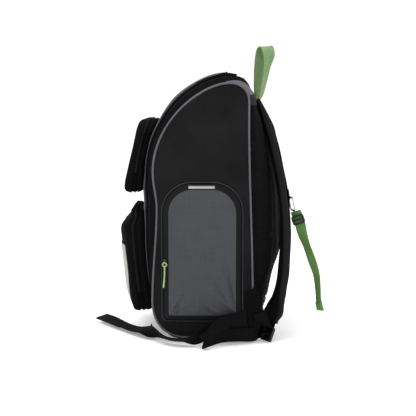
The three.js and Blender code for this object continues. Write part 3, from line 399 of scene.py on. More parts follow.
class Outline:
    """A side outline of curved stretches, read by the distance along it."""

    def __init__(self, start, stretches):
        share = np.linspace(0, 1, 201)[1:, None]
        points = [np.array([start], float)]
        for stretch in stretches:
            a, b, c, d = (np.array(p, float) for p in (points[-1][-1], *stretch))
            rest = 1 - share
            points.append(a * rest**3 + 3 * b * share * rest**2 + 3 * c * share**2 * rest + d * share**3)
        self.points = np.concatenate(points)
        self.along = distance_along(self.points)
        tangent = unit(np.gradient(self.points, self.along, axis=0))
        self.outward = np.stack([-tangent[:, 1], tangent[:, 0]], 1)
        self.length = self.along[-1]

    def at(self, along):
        """The place and the direction out of the bag, each as (y, z)."""
        found = []
        for values in (self.points, self.outward):
            found.append(np.stack([np.interp(along, self.along, values[:, k]) for k in (0, 1)], -1))
        return found


FRONT = Outline(FRONT_START, FRONT_STRETCHES)
BACK = Outline(BACK_START, BACK_STRETCHES)


def smooth_line(points, shares):
    """Points of a smooth line through some points, at shares of its run from the first to the last."""
    points = np.asarray(points, float)
    last = len(points) - 1
    padded = np.concatenate([[2 * points[0] - points[1]], points, [2 * points[-1] - points[-2]]])
    place = np.asarray(shares) * last
    first = np.minimum(place.astype(int), last - 1)
    t = (place - first)[:, None]
    p0, p1, p2, p3 = (padded[first + k] for k in range(4))
    pairs = ((p0, p1), (p1, p2), (p2, p3))
    d0, d1, d2 = (np.sqrt(np.linalg.norm(b - a, axis=1, keepdims=True)) for a, b in pairs)
    d1 = np.where(d1 < 1e-4, 1, d1)
    d0, d2 = np.where(d0 < 1e-4, d1, d0), np.where(d2 < 1e-4, d1, d2)
    leave = d1 * ((p1 - p0) / d0 - (p2 - p0) / (d0 + d1) + (p2 - p1) / d1)
    arrive = d1 * ((p2 - p1) / d1 - (p3 - p1) / (d1 + d2) + (p3 - p2) / d2)
    return (
        p1 + leave * t
        + (3 * (p2 - p1) - 2 * leave - arrive) * t**2
        + (2 * (p1 - p2) + leave + arrive) * t**3
    )


Stations = namedtuple("Stations", "centre across out")


def ribbon(rows, count, width=0.0):
    """Stations along a table's rows, kept above the floor for a strip of that width."""
    shares = np.linspace(0, 1, count + 1)
    centre = smooth_line([(row.x, row.y, row.z) for row in rows], shares)
    tangent = unit(np.gradient(centre, axis=0))
    lie = smooth_line([row.across for row in rows], shares)
    across = unit(lie - tangent * (lie * tangent).sum(1, keepdims=True))
    out = np.cross(tangent, across)
    reach = (np.abs(across[:, 2]) * width + np.abs(out[:, 2]) * WEBBING["thick"]) / 2
    centre[:, 2] = np.maximum(centre[:, 2], reach + 0.4)
    return Stations(centre, across, out)


def moved(stations, lift):
    """The same stations, moved along their outward direction."""
    return Stations(stations.centre + stations.out * np.reshape(lift, (-1, 1)), stations.across, stations.out)


def part_of(stations, first, last):
    return Stations(*(values[first:last] for values in stations))


def line_stations(points, outward, closed=False):
    """Stations along a line whose section stands on its outward directions, or on one direction."""
    if closed:
        ahead, behind = np.roll(points[:-1], -1, axis=0), np.roll(points[:-1], 1, axis=0)
        tangent = unit(ahead - behind)
        tangent = np.concatenate([tangent, tangent[:1]])
    else:
        tangent = unit(np.gradient(points, axis=0))
    out = unit(outward - tangent * (outward * tangent).sum(1, keepdims=True))
    return Stations(points, np.cross(tangent, out), out)


# Surfaces of the bag

def front_surface(along, x, lift=0.0):
    """A point of the crowned front, at a distance along the outline and from the centre plane."""
    place, outward = FRONT.at(along)
    fall = np.abs(x / HALF_WIDTH) ** CROWN_POWER
    rise = np.interp(along, *FRONT_CROWN.T) * (1 - fall) + lift
    yz = place + outward * np.asarray(rise)[..., None]
    return np.concatenate([np.broadcast_to(x, yz.shape[:-1])[..., None], yz], -1)


def front_depth(x, z):
    """Depth at which the front reaches a height."""
    low = np.zeros(np.broadcast(x, z).shape)
    high = np.full(low.shape, FRONT.length * 0.85)
    for _ in range(30):
        middle = (low + high) / 2
        under = front_surface(middle, x)[..., 2] < z
        low, high = np.where(under, middle, low), np.where(under, high, middle)
    return front_surface(low, x)[..., 1]


def back_surface(along, x, lift=0.0):
    place, outward = BACK.at(along)
    yz = place + outward * np.asarray(lift)[..., None]
    return np.concatenate([np.broadcast_to(x, yz.shape[:-1])[..., None], yz], -1)


def side_reach(y, z):
    """How far out a side stands."""
    over_depth = np.maximum(0, 1 - (y / SIDE_BULGE["half_depth"]) ** 2)
    over_height = np.maximum(0, 1 - ((z - SIDE_BULGE["middle"]) / SIDE_BULGE["half_height"]) ** 2)
    return HALF_WIDTH + SIDE_BULGE["rise"] * over_depth * over_height


def side_surface(y, z, depth=0.0):
    return np.stack(np.broadcast_arrays(side_reach(y, z) + depth, y, z), -1)


def swells(u, v, size, seed=0):
    """Uneven soft swells over a surface, from -1 to 1, about a size apart."""
    total = np.zeros(np.broadcast(u, v).shape)
    waves = 6
    for k in range(waves):
        angle = 2.4 * (k + seed) + 0.3
        wave = size * (0.8 + 0.16 * k)
        total += np.sin((u * math.cos(angle) + v * math.sin(angle)) * 2 * math.pi / wave + 1.9 * k + seed)
    return total / 3


def cloth_swell():
    """How far loose cloth swells and sinks, in millimetres."""
    return bpy.context.scene.backpack_sizes.swell / MM


def eased(share):
    """A share from 0 to 1 that starts and ends gently."""
    return share**2 * (3 - 2 * share)


def crease_height(y, z, crease):
    """Height of a crease that spreads from its corner and dies away."""
    turn = math.radians(crease.angle)
    ahead = (y - crease.y) * math.cos(turn) + (z - crease.z) * math.sin(turn)
    aside = (z - crease.z) * math.cos(turn) - (y - crease.y) * math.sin(turn)
    share = np.clip(ahead / crease.length, 0, 1)
    width = crease.width * (0.45 + 0.9 * share)
    return crease.height * np.sin(np.pi * share**0.6) * np.exp(-((aside / width) ** 2))


# Meshes

def measured_map(rows):
    """A map of a grid by the distances along its middle row and column."""
    across = distance_along(rows[len(rows) // 2])
    along = distance_along(rows[:, rows.shape[1] // 2])
    return np.stack(np.meshgrid(across, along), -1)


class MeshParts:
    """Grids of points in millimetres, gathered into one mesh."""

    def __init__(self):
        self.points = []
        self.faces = []
        self.places = []
        self.count = 0

    def grid(self, rows, places=None, centre=BODY_CENTRE, ring=False, loop=False, caps=False):
        """Adds a grid. A ring's columns and a loop's rows end with their first one again."""
        rows = np.asarray(rows, float)
        places = measured_map(rows) if places is None else places
        height = len(rows) - 1 if loop else len(rows)
        width = rows.shape[1] - 1 if ring else rows.shape[1]
        i, j = np.indices(rows.shape[:2])
        index = self.count + (i % height) * width + j % width
        corners = ((slice(None, -1), slice(None, -1)), (slice(None, -1), slice(1, None)),
                   (slice(1, None), slice(1, None)), (slice(1, None), slice(None, -1)))
        quads = np.stack([index[c] for c in corners], -1).reshape(-1, 4)
        maps = np.stack([places[c] for c in corners], -2).reshape(-1, 4, 2)
        a, b, c, d = (rows[k] for k in corners)
        inside = np.broadcast_to(centre, rows.shape)[:-1, :-1] if np.ndim(centre) == 1 else centre[:-1, None]
        facing = (np.cross(c - a, d - b) * (a + c - 2 * inside)).sum()
        ends = [index[0, :width], index[-1, :width][::-1]] if caps else []
        if facing > 0:
            ends = [end[::-1] for end in ends]
        else:
            quads, maps = quads[:, ::-1], maps[:, ::-1]
        self.faces += quads.tolist() + [end.tolist() for end in ends]
        self.places += [maps.reshape(-1, 2)] + [np.zeros((width, 2)) for _ in ends]
        self.points.append(rows[:height, :width].reshape(-1, 3))
        self.count += height * width

    def sweep(self, stations, section, ring=True, loop=False, caps=True):
        """Adds a section of (across, out) points carried along stations; it may differ at each station."""
        section = np.asarray(section, float)
        if section.ndim == 2:
            section = np.broadcast_to(section, (len(stations.centre), *section.shape))
        if ring:
            section = np.concatenate([section, section[:, :1]], 1)
        rows = (
            stations.centre[:, None]
            + stations.across[:, None] * section[..., :1]
            + stations.out[:, None] * section[..., 1:]
        )
        self.grid(rows, centre=stations.centre, ring=ring, loop=loop, caps=caps and not loop)

    def turn(self, matrix):
        """Places everything gathered so far."""
        turned = np.array(matrix.to_3x3())
        self.points = [points @ turned.T + np.array(matrix.translation) for points in self.points]

    def mirror(self):
        """Takes everything gathered so far to the other side."""
        self.points = [points * (-1, 1, 1) for points in self.points]
        offsets = np.cumsum([0] + [len(face) for face in self.faces])
        places = np.concatenate(self.places)
        self.places = [places[a:b][::-1] for a, b in zip(offsets, offsets[1:])]
        self.faces = [face[::-1] for face in self.faces]

    def make(self, name, finish_name, sharp=50, side="right"):
        """The object, with its finish. Edges sharper than an angle stay crisp."""
        if side == "left":
            self.mirror()
        mesh = bpy.data.meshes.new(name)
        mesh.from_pydata((np.concatenate(self.points) * MM).tolist(), [], self.faces)
        cloth_map = mesh.uv_layers.new(name=CLOTH_MAP)
        cloth_map.uv.foreach_set("vector", (np.concatenate(self.places) * MM).astype(np.float32).ravel())
        mesh.shade_smooth()
        mesh.set_sharp_from_angle(angle=math.radians(sharp))
        mesh.materials.append(finish(finish_name))
        piece = bpy.data.objects.new(name, mesh)
        bpy.context.scene.collection.objects.link(piece)
        return piece


def settle(piece, slot, *nodes):
    """Lets a piece ride on the bag, hiding the CAD nodes that it stands for; its material slot is not used.
    """
    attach(piece, "root")
    if nodes:
        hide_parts(*nodes)
    return piece


def add_wall(piece, thick):
    """Gives a sheet its wall, towards its inner side."""
    wall = piece.modifiers.new("wall", "SOLIDIFY")
    wall.thickness = thick * MM
    wall.offset = -1
    return piece


def round_section(radius, sides=10):
    angles = np.arange(sides) / sides * 2 * math.pi
    return np.stack([np.cos(angles), np.sin(angles)], -1) * radius


def strip_section(width, thick):
    """Section of a woven strip, rounded at its edges."""
    radius = thick * 0.45
    corner = np.radians([270, 300, 330, 360])
    arc = np.stack([np.cos(corner), np.sin(corner)], -1) * radius
    face = np.linspace(-1, 1, 9)[1:-1]
    x, z = width / 2 - radius, thick / 2 - radius
    lower = np.stack([face * x, np.full(7, -thick / 2)], -1)
    right = np.concatenate([arc + (x, -z), (arc[::-1] * (1, -1)) + (x, z)])
    return np.concatenate([lower, right, lower[::-1] * (1, -1), right[::-1] * (-1, 1)])


def rounded_loop(half_width, half_height, corner, steps=7):
    """A closed line round a rectangle with round corners, its first point given again at the end."""
    centres = ((1, -1, -90), (1, 1, 0), (-1, 1, 90), (-1, -1, 180))
    points = []
    for x, y, start in centres:
        angle = np.radians(np.linspace(start, start + 90, steps))
        middle = np.array([x * (half_width - corner), y * (half_height - corner)])
        points.append(middle + corner * np.stack([np.cos(angle), np.sin(angle)], -1))
    points = np.concatenate(points)
    return np.concatenate([points, points[:1]])


def pocket_loop(outline, inset, arc_steps=14, side_step=4.0):
    """A closed line round a pocket's outline, drawn in by an inset; every inset has as many points."""
    middle, half_width, low, high, top_radius, low_radius = outline
    half, top, bottom = half_width - inset, high - inset, low + inset
    r, q = (max(1.0, radius - inset) for radius in (top_radius, low_radius))
    corners = (
        (middle + half - q, bottom + q, q, -90),
        (middle + half - r, top - r, r, 0),
        (middle - half + r, top - r, r, 90),
        (middle - half + q, bottom + q, q, 180),
    )
    arcs = []
    for x, z, radius, start in corners:
        angle = np.radians(np.linspace(start, start + 90, arc_steps))
        arcs.append(np.array([x, z]) + radius * np.stack([np.cos(angle), np.sin(angle)], -1))
    runs = (high - low, 2 * half_width, high - low, 2 * half_width)
    points = []
    for k, arc in enumerate(arcs):
        share = np.linspace(0, 1, int(runs[k] / side_step) + 1)[1:-1, None]
        ahead = arcs[(k + 1) % 4][0]
        points += [arc, arc[-1] + (ahead - arc[-1]) * share]
    points = np.concatenate(points)
    return np.concatenate([points, points[:1]])


def pocket_inset(outline, x, z):
    """How far inside a pocket's outline a point lies."""
    middle, half_width, low, high, top_radius, low_radius = outline
    x = np.abs(x - middle)
    inset = np.minimum(half_width - x, np.minimum(high - z, z - low))
    for radius, edge, sign in ((top_radius, high, 1), (low_radius, low, -1)):
        past_x = x - (half_width - radius)
        past_z = sign * (z - edge) + radius
        in_corner = (past_x > 0) & (past_z > 0)
        inset = np.where(in_corner, radius - np.hypot(past_x, past_z), inset)
    return inset


def finer(rings, steps):
    """A table of rings with steps between its rows, rounded over a smooth line."""
    return smooth_line(rings, np.linspace(0, 1, (len(rings) - 1) * steps + 1))


def add_stitches(parts, points, outward, sink=0.1):
    """Adds a row of stitches along a line, standing a little out of the cloth."""
    outward = np.broadcast_to(outward, points.shape)
    sizes = bpy.context.scene.backpack_sizes
    length, gap = sizes.stitch_length / MM, sizes.stitch_gap / MM
    radius = sizes.thread_radius / MM
    along = distance_along(points)
    share = np.linspace(0, 1, 5)
    bow = np.sin(np.pi * share)
    for start in np.arange(gap / 2, along[-1] - length, length + gap):
        at = start + share * length
        centre = np.stack([np.interp(at, along, points[:, k]) for k in range(3)], -1)
        out = unit(np.stack([np.interp(at, along, outward[:, k]) for k in range(3)], -1))
        centre += out * (radius * (1.3 * bow - 0.6) - sink)[:, None]
        section = round_section(1, 5) * radius * (0.55 + 0.45 * bow)[:, None, None]
        parts.sweep(line_stations(centre, out), section)


def add_zip_teeth(parts, points, outward, half_width=2.3, height=1.1):
    """Adds the two rows of teeth of a closed zip along a line."""
    pitch = bpy.context.scene.backpack_sizes.zip_pitch / MM
    along = distance_along(points)
    at = np.arange(0, along[-1], pitch / 5)
    centre = np.stack([np.interp(at, along, points[:, k]) for k in range(3)], -1)
    out = unit(np.stack([np.interp(at, along, outward[:, k]) for k in range(3)], -1))
    stations = line_stations(centre, out)
    column = np.array([-1.0, -0.92, -0.55, -0.2, 0, 0.2, 0.55, 0.92, 1.0])
    dome = np.array([-0.3, 0.35, 0.85, 0.8, 0.5, 0.8, 0.85, 0.35, -0.3])
    phase = 2 * math.pi * at[:, None] / pitch + np.where(column < 0, 0, math.pi)
    ridge = np.where(np.abs(column) < 0.9, 0.5 + 0.5 * np.cos(phase), 1)
    rise = height * dome * (0.45 + 0.55 * ridge)
    aside = stations.across[:, None] * (column * half_width)[:, None]
    rows = centre[:, None] + aside + out[:, None] * rise[..., None]
    parts.grid(rows, centre=centre - out * 20)


# Finishes

def add_node(tree, kind, inputs=(), **settings):
    """A shader node with its settings, its inputs set to values or linked to other nodes' outputs."""
    node = tree.nodes.new(kind)
    for name, value in settings.items():
        setattr(node, name, value)
    for name, value in dict(inputs).items():
        if isinstance(value, bpy.types.NodeSocket):
            tree.links.new(value, node.inputs[name])
        else:
            node.inputs[name].default_value = value
    return node


def math_node(tree, operation, first, second=0.5):
    return add_node(tree, "ShaderNodeMath", {0: first, 1: second}, operation=operation).outputs[0]


def new_finish(name):
    """A new material: its node tree and its shader node."""
    material = bpy.data.materials.new(f"{name}_finish")
    material.use_nodes = True
    return material, material.node_tree, material.node_tree.nodes["Principled BSDF"]


def cloth_axes(tree, pitch):
    """The two directions of the cloth's map, counted in pitches, and the map itself."""
    cloth_map = add_node(tree, "ShaderNodeUVMap", uv_map=CLOTH_MAP).outputs[0]
    counted = add_node(tree, "ShaderNodeVectorMath", {0: cloth_map, "Scale": 1 / pitch}, operation="SCALE")
    scaled = counted.outputs[0]
    axes = add_node(tree, "ShaderNodeSeparateXYZ", {0: scaled})
    return axes.outputs["X"], axes.outputs["Y"], scaled, cloth_map


def thread_round(tree, count):
    """The round back of threads that lie side by side, from 0 to 1."""
    turned = math_node(tree, "MULTIPLY", count, math.pi)
    return math_node(tree, "ABSOLUTE", math_node(tree, "SINE", turned))


def tinted(tree, colour, shade):
    """A colour made darker or lighter by a shade that varies round 1."""
    mix = add_node(tree, "ShaderNodeMix", data_type="RGBA", blend_type="MULTIPLY")
    mix.inputs["Factor"].default_value = 1
    mix.inputs[6].default_value = tuple(colour)
    tree.links.new(shade, mix.inputs[7])
    return mix.outputs[2]


def uneven(tree, scale, amount, vector=None, detail=3.0):
    """A shade round 1 that drifts by an amount over the surface."""
    vector = vector or add_node(tree, "ShaderNodeTexCoord").outputs["Object"]
    noise = add_node(tree, "ShaderNodeTexNoise", {"Vector": vector, "Scale": scale, "Detail": detail})
    spread = add_node(tree, "ShaderNodeMapRange", {"Value": noise.outputs["Fac"]})
    for name, value in (("From Min", 0.3), ("From Max", 0.7), ("To Min", 1 - amount), ("To Max", 1 + amount)):
        spread.inputs[name].default_value = value
    return spread.outputs["Result"]


def stretched(tree, vector, factors):
    """A map drawn out by a factor along each axis."""
    return add_node(tree, "ShaderNodeVectorMath", {0: vector, 1: factors}, operation="MULTIPLY").outputs[0]


def slubs(tree, cloth_map, amount):
    """Faint streaks along both threads of a woven cloth, as a shade round 1."""
    streaks = []
    for stretch in ((22, 330, 1), (330, 22, 1)):
        streaks.append(uneven(tree, 1.0, amount, stretched(tree, cloth_map, stretch), detail=2.0))
    return math_node(tree, "MULTIPLY", *streaks)


def add_bump(tree, shader, height, distance, strength=0.6):
    bump = add_node(tree, "ShaderNodeBump", {"Height": height, "Distance": distance, "Strength": strength})
    tree.links.new(bump.outputs["Normal"], shader.inputs["Normal"])


def set_shader(shader, roughness, specular, sheen=0.0, metallic=0.0):
    shader.inputs["Roughness"].default_value = roughness
    shader.inputs["Specular IOR Level"].default_value = specular
    shader.inputs["Sheen Weight"].default_value = sheen
    shader.inputs["Sheen Roughness"].default_value = 0.5
    shader.inputs["Metallic"].default_value = metallic


def vary_roughness(tree, shader, scale, amount, roughness):
    """Lets the roughness drift round a value over the surface."""
    drift = math_node(tree, "MULTIPLY", uneven(tree, scale, amount), roughness)
    tree.links.new(drift, shader.inputs["Roughness"])


def woven_finish(name, colour, pitch, roughness=0.75, specular=0.08, sheen=0.0, drift=0.10):
    """Plain-woven coated cloth: threads that cross over and under, slubs, and a soft drift of colour."""
    material, tree, shader = new_finish(name)
    u, v, scaled, cloth_map = cloth_axes(tree, pitch)
    warp, weft = thread_round(tree, u), thread_round(tree, v)
    over = add_node(tree, "ShaderNodeTexChecker", {"Vector": scaled, "Scale": 1.0}).outputs["Fac"]
    top = add_node(tree, "ShaderNodeMix", {"Factor": over, 2: warp, 3: weft}, data_type="FLOAT").outputs[0]
    below = add_node(tree, "ShaderNodeMix", {"Factor": over, 2: weft, 3: warp}, data_type="FLOAT").outputs[0]
    raised, sunk = math_node(tree, "MULTIPLY", top, 0.65), math_node(tree, "MULTIPLY", below, 0.35)
    height = math_node(tree, "ADD", raised, sunk)
    # Sunken threads darker and raised ones lighter: painted shade between the threads
    shade = math_node(tree, "ADD", math_node(tree, "MULTIPLY", height, 0.5), 0.68)
    shade = math_node(tree, "MULTIPLY", shade, slubs(tree, cloth_map, 0.05))
    shade = math_node(tree, "MULTIPLY", shade, uneven(tree, 14.0, drift))
    tree.links.new(tinted(tree, colour, shade), shader.inputs["Base Color"])
    set_shader(shader, roughness, specular, sheen)
    vary_roughness(tree, shader, 30.0, 0.08, roughness)
    add_bump(tree, shader, height, pitch * 0.35)
    return material


def mesh_finish(name, colour, pitch):
    """Open spacer mesh: rows of diamond holes with rounded yarn between them."""
    material, tree, shader = new_finish(name)
    u, v, _, cloth_map = cloth_axes(tree, pitch)
    left = thread_round(tree, math_node(tree, "ADD", u, v))
    right = thread_round(tree, math_node(tree, "SUBTRACT", u, v))
    hole = math_node(tree, "MULTIPLY", left, right)
    yarn = math_node(tree, "SUBTRACT", 1.0, math_node(tree, "POWER", hole, 1.6))
    knit = uneven(tree, 1800.0, 0.25, cloth_map, detail=1.0)
    # The holes are painted dark as shade and the yarn between them lighter
    net = math_node(tree, "MULTIPLY", math_node(tree, "POWER", yarn, 5.0), 4.6)
    shade = math_node(tree, "MULTIPLY", math_node(tree, "ADD", net, 0.05), knit)
    shade = math_node(tree, "MULTIPLY", shade, uneven(tree, 10.0, 0.12))
    tree.links.new(tinted(tree, colour, shade), shader.inputs["Base Color"])
    set_shader(shader, 0.9, 0.03)
    add_bump(tree, shader, math_node(tree, "MULTIPLY", yarn, knit), pitch * 0.3, strength=0.9)
    return material


def webbing_finish(name, colour, pitch, drift=0.10, specular=0.1):
    """Ribbed webbing: short ribs that lean one way and then the other across its width."""
    material, tree, shader = new_finish(name)
    u, v, _, cloth_map = cloth_axes(tree, pitch)
    zigzag = math_node(tree, "PINGPONG", math_node(tree, "MULTIPLY", u, 0.9), 1.5)
    rib = thread_round(tree, math_node(tree, "ADD", v, zigzag))
    cord = thread_round(tree, math_node(tree, "MULTIPLY", u, 0.9 / 1.5))
    corded = math_node(tree, "ADD", math_node(tree, "MULTIPLY", cord, 0.45), 0.55)
    height = math_node(tree, "MULTIPLY", rib, corded)
    # Grooves between the ribs darker: painted shade
    shade = math_node(tree, "ADD", math_node(tree, "MULTIPLY", height, 0.5), 0.7)
    shade = math_node(tree, "MULTIPLY", shade, uneven(tree, 900.0, 0.12, cloth_map, detail=2.0))
    shade = math_node(tree, "MULTIPLY", shade, uneven(tree, 22.0, drift))
    tree.links.new(tinted(tree, colour, shade), shader.inputs["Base Color"])
    set_shader(shader, 0.7, specular)
    add_bump(tree, shader, height, pitch * 0.3, strength=0.8)
    return material


def moulded_finish(name, colour, roughness, specular=0.4):
    """Moulded plastic or rubber with a fine spark-eroded grain and rubbed patches."""
    material, tree, shader = new_finish(name)
    coordinates = add_node(tree, "ShaderNodeTexCoord").outputs["Object"]
    grain = add_node(tree, "ShaderNodeTexNoise", {"Vector": coordinates, "Scale": 2200.0, "Detail": 2.0})
    tree.links.new(tinted(tree, colour, uneven(tree, 90.0, 0.10)), shader.inputs["Base Color"])
    set_shader(shader, roughness, specular)
    vary_roughness(tree, shader, 140.0, 0.15, roughness)
    add_bump(tree, shader, grain.outputs["Fac"], 0.00008, strength=0.5)
    return material


def steel_finish(name, colour):
    """Plated steel wire with fine drawn scratches."""
    material, tree, shader = new_finish(name)
    coordinates = add_node(tree, "ShaderNodeTexCoord").outputs["Object"]
    drawn = stretched(tree, coordinates, (300, 3000, 3000))
    tree.links.new(tinted(tree, colour, uneven(tree, 1.0, 0.10, drawn)), shader.inputs["Base Color"])
    set_shader(shader, 0.28, 0.5, metallic=1.0)
    vary_roughness(tree, shader, 260.0, 0.3, 0.28)
    add_bump(tree, shader, uneven(tree, 1.0, 0.5, drawn), 0.00002, strength=0.4)
    return material


def reflective_finish(name, colour):
    """Reflective film: a fine honeycomb of cells under a clear face, dulled by handling."""
    material, tree, shader = new_finish(name)
    _, _, scaled, _ = cloth_axes(tree, 0.0012)
    cells = add_node(tree, "ShaderNodeTexVoronoi", {"Vector": scaled, "Scale": 1.0, "Randomness": 0.15})
    cell = math_node(tree, "SUBTRACT", 1.0, cells.outputs["Distance"])
    shade = math_node(tree, "ADD", math_node(tree, "MULTIPLY", cell, 0.3), 0.78)
    shade = math_node(tree, "MULTIPLY", shade, uneven(tree, 35.0, 0.08))
    tree.links.new(tinted(tree, colour, shade), shader.inputs["Base Color"])
    set_shader(shader, 0.35, 0.5, metallic=0.35)
    vary_roughness(tree, shader, 60.0, 0.2, 0.38)
    add_bump(tree, shader, cell, 0.0001, strength=0.4)
    return material


def thread_finish(name, colour):
    """Twisted sewing thread."""
    material, tree, shader = new_finish(name)
    u, v, _, _ = cloth_axes(tree, 0.0005)
    twist = thread_round(tree, math_node(tree, "ADD", u, v))
    # The grooves of the twist are darker: painted shade
    tree.links.new(
        tinted(tree, colour, math_node(tree, "ADD", math_node(tree, "MULTIPLY", twist, 0.5), 0.7)),
        shader.inputs["Base Color"],
    )
    set_shader(shader, 0.85, 0.05)
    add_bump(tree, shader, twist, 0.0001)
    return material


def floor_finish(name, colour, glow):
    """Pale studio floor with a barely uneven tone."""
    material, tree, shader = new_finish(name)
    tree.links.new(tinted(tree, colour, uneven(tree, 3.0, 0.01)), shader.inputs["Base Color"])
    set_shader(shader, 0.8, 0.2)
    shader.inputs["Emission Color"].default_value = (1, 1, 1, 1)
    shader.inputs["Emission Strength"].default_value = glow
    return material


def finish(name):
    """The material of a finish, made when it is first asked for."""
    made = bpy.data.materials.get(f"{name}_finish")
    if made:
        return made
    colours = bpy.context.scene.backpack_colours
    sizes = bpy.context.scene.backpack_sizes
    weave, ribs = sizes.weave_pitch, sizes.webbing_pitch
    makers = {
        "black_cloth": lambda: woven_finish(name, colours.black_cloth, weave, drift=0.3),
        # Black cloth darkened by painted shade, with a duller finish
        "dull_cloth_painted_shade": lambda: woven_finish(name, colours.dull_cloth_painted_shade, weave, 0.9, 0.02),
        "grey_cloth": lambda: woven_finish(name, colours.grey_cloth, weave, 0.7, 0.2, 0.02, 0.05),
        "yoke_cloth": lambda: woven_finish(name, colours.yoke_cloth, weave, 0.7, 0.2, 0.02, 0.05),
        "piping": lambda: woven_finish(name, colours.piping, weave * 0.7, 0.6, 0.35, 0.02, 0.08),
        "front_piping": lambda: woven_finish(name, colours.front_piping, weave * 0.7, 0.6, 0.25, 0.0, 0.08),
        # Grey as a painted highlight on the black seam fold
        "seam_piping_highlight": lambda: woven_finish(name, colours.seam_piping_highlight, weave * 0.7, 0.6, 0.2, 0.0, 0.08),
        "pad_mesh": lambda: mesh_finish(name, colours.pad_mesh, sizes.mesh_pitch),
        "black_webbing": lambda: webbing_finish(name, colours.black_webbing, ribs, 0.1, 0.03),
        "binding": lambda: webbing_finish(name, colours.binding, ribs, 0.1, 0.1),
        "green_webbing": lambda: webbing_finish(name, colours.green_webbing, ribs, 0.12, 0.3),
        "chest_webbing": lambda: webbing_finish(name, colours.chest_webbing, ribs, 0.12, 0.25),
        "green_rubber": lambda: moulded_finish(name, colours.green_rubber, 0.5),
        "black_plastic": lambda: moulded_finish(name, colours.black_plastic, 0.4),
        "zip_teeth": lambda: moulded_finish(name, colours.black_plastic, 0.6, 0.1),
        "zip_tape": lambda: woven_finish(name, colours.black_cloth, weave * 1.2, 0.8, 0.15),
        "steel": lambda: steel_finish(name, colours.steel),
        "reflective": lambda: reflective_finish(name, colours.reflective),
        "thread": lambda: thread_finish(name, colours.thread),
        "green_thread": lambda: thread_finish(name, colours.green_rubber),
    }
    return makers[name]()


# Stage

class BACKPACK_OT_stage(bpy.types.Operator):
    """Lay the pale floor, light the studio and set up the camera"""

    bl_idname = "backpack.stage"
    bl_label = "Stage"

    def execute(self, context):
        studio = context.scene.backpack_studio
        context.scene.view_settings.view_transform = "Standard"
        self.add_camera(context, studio)
        self.add_floor(context, studio)
        self.add_lights(context, studio)
        return {"FINISHED"}

    def add_camera(self, context, studio):
        data = bpy.data.cameras.new("camera")
        data.sensor_width = 36
        data.lens = studio.lens
        camera = bpy.data.objects.new("camera", data)
        camera.location = studio.camera_place
        camera.rotation_euler = (math.pi / 2 - studio.camera_pitch, 0, math.pi / 2)
        context.scene.collection.objects.link(camera)
        context.scene.camera = camera

    def add_floor(self, context, studio):
        half = 12.0
        mesh = bpy.data.meshes.new("floor")
        corners = [(-half, -half, 0), (half, -half, 0), (half, half, 0), (-half, half, 0)]
        mesh.from_pydata(corners, [], [(0, 1, 2, 3)])
        mesh.materials.append(floor_finish("floor", studio.floor_colour, studio.floor_glow))
        floor = bpy.data.objects.new("floor", mesh)
        context.scene.collection.objects.link(floor)

    def add_lights(self, context, studio):
        world = bpy.data.worlds.new("studio")
        world.use_nodes = True
        sky = world.node_tree.nodes["Background"]
        sky.inputs["Color"].default_value = (1, 1, 1, 1)
        sky.inputs["Strength"].default_value = studio.sky_strength
        context.scene.world = world
        boxes = (
            ("top_light", studio.top_power, 1.6, (0.35, -0.35, 1.9), (0, 0.02, 0.2)),
            ("side_light", studio.side_power, 1.3, (1.9, 0.9, 1.1), (0.1, 0.02, 0.2)),
        )
        for name, power, size, place, target in boxes:
            data = bpy.data.lights.new(name, "AREA")
            data.energy = power
            data.size = size
            light = bpy.data.objects.new(name, data)
            light.location = place
            light.rotation_euler = (Vector(target) - Vector(place)).to_track_quat("-Z", "Y").to_euler()
            context.scene.collection.objects.link(light)


# Body

def side_panel_rows():
    """The side panel between the front and rear seams."""
    def inset(outline, along):
        place, outward = outline.at(along)
        return place - outward * PIPING["seat"]

    share = np.linspace(0, 1, 131)
    up = share * (BACK.length + FRONT.length - SIDE_TOP - 8)
    over_back = up > BACK.length
    rear = np.where(
        over_back[:, None],
        inset(FRONT, FRONT.length - (up - BACK.length)),
        inset(BACK, BACK.length - up),
    )
    front = inset(FRONT, share * SIDE_TOP)
    across = np.linspace(0, 1, 61)[None, :, None]
    place = front[:, None] + (rear - front)[:, None] * across
    y, z = place[..., 0], place[..., 1]
    edge = np.minimum(1, 4.5 * np.minimum(across[..., 0], 1 - across[..., 0]))
    lift = cloth_swell() * edge * swells(y, z, 95, 3)
    return side_surface(y, z, lift), np.stack([y, z], -1)


def gusset_line(offset, side_steps=130, corner_steps=22, top_steps=30):
    """Places (along, x) of a line at a distance outside the front panel's seam, from right to left."""
    radius = max(0.5, FRONT_EDGE["corner"] + offset)
    turn_at = FRONT_EDGE["high"] - FRONT_EDGE["corner"]
    turn_x = FRONT_EDGE["half_width"] - FRONT_EDGE["corner"]
    up = np.linspace(FRONT_EDGE["low"], turn_at, side_steps)
    angle = np.linspace(0, math.pi / 2, corner_steps)[1:]
    over = np.linspace(turn_x, 0, top_steps)[1:]
    along = np.concatenate([up, turn_at + radius * np.sin(angle), np.full(len(over), turn_at + radius)])
    x = np.concatenate([np.full(len(up), turn_x + radius), turn_x + radius * np.cos(angle), over])
    return np.concatenate([along, along[-2::-1]]), np.concatenate([x, -x[-2::-1]])


def gusset_rows(offsets, lifts):
    """A band of the gusset between offsets from the front panel's seam, lifted off the bag's form."""
    return np.stack([front_surface(*gusset_line(offset), lift) for offset, lift in zip(offsets, lifts)])


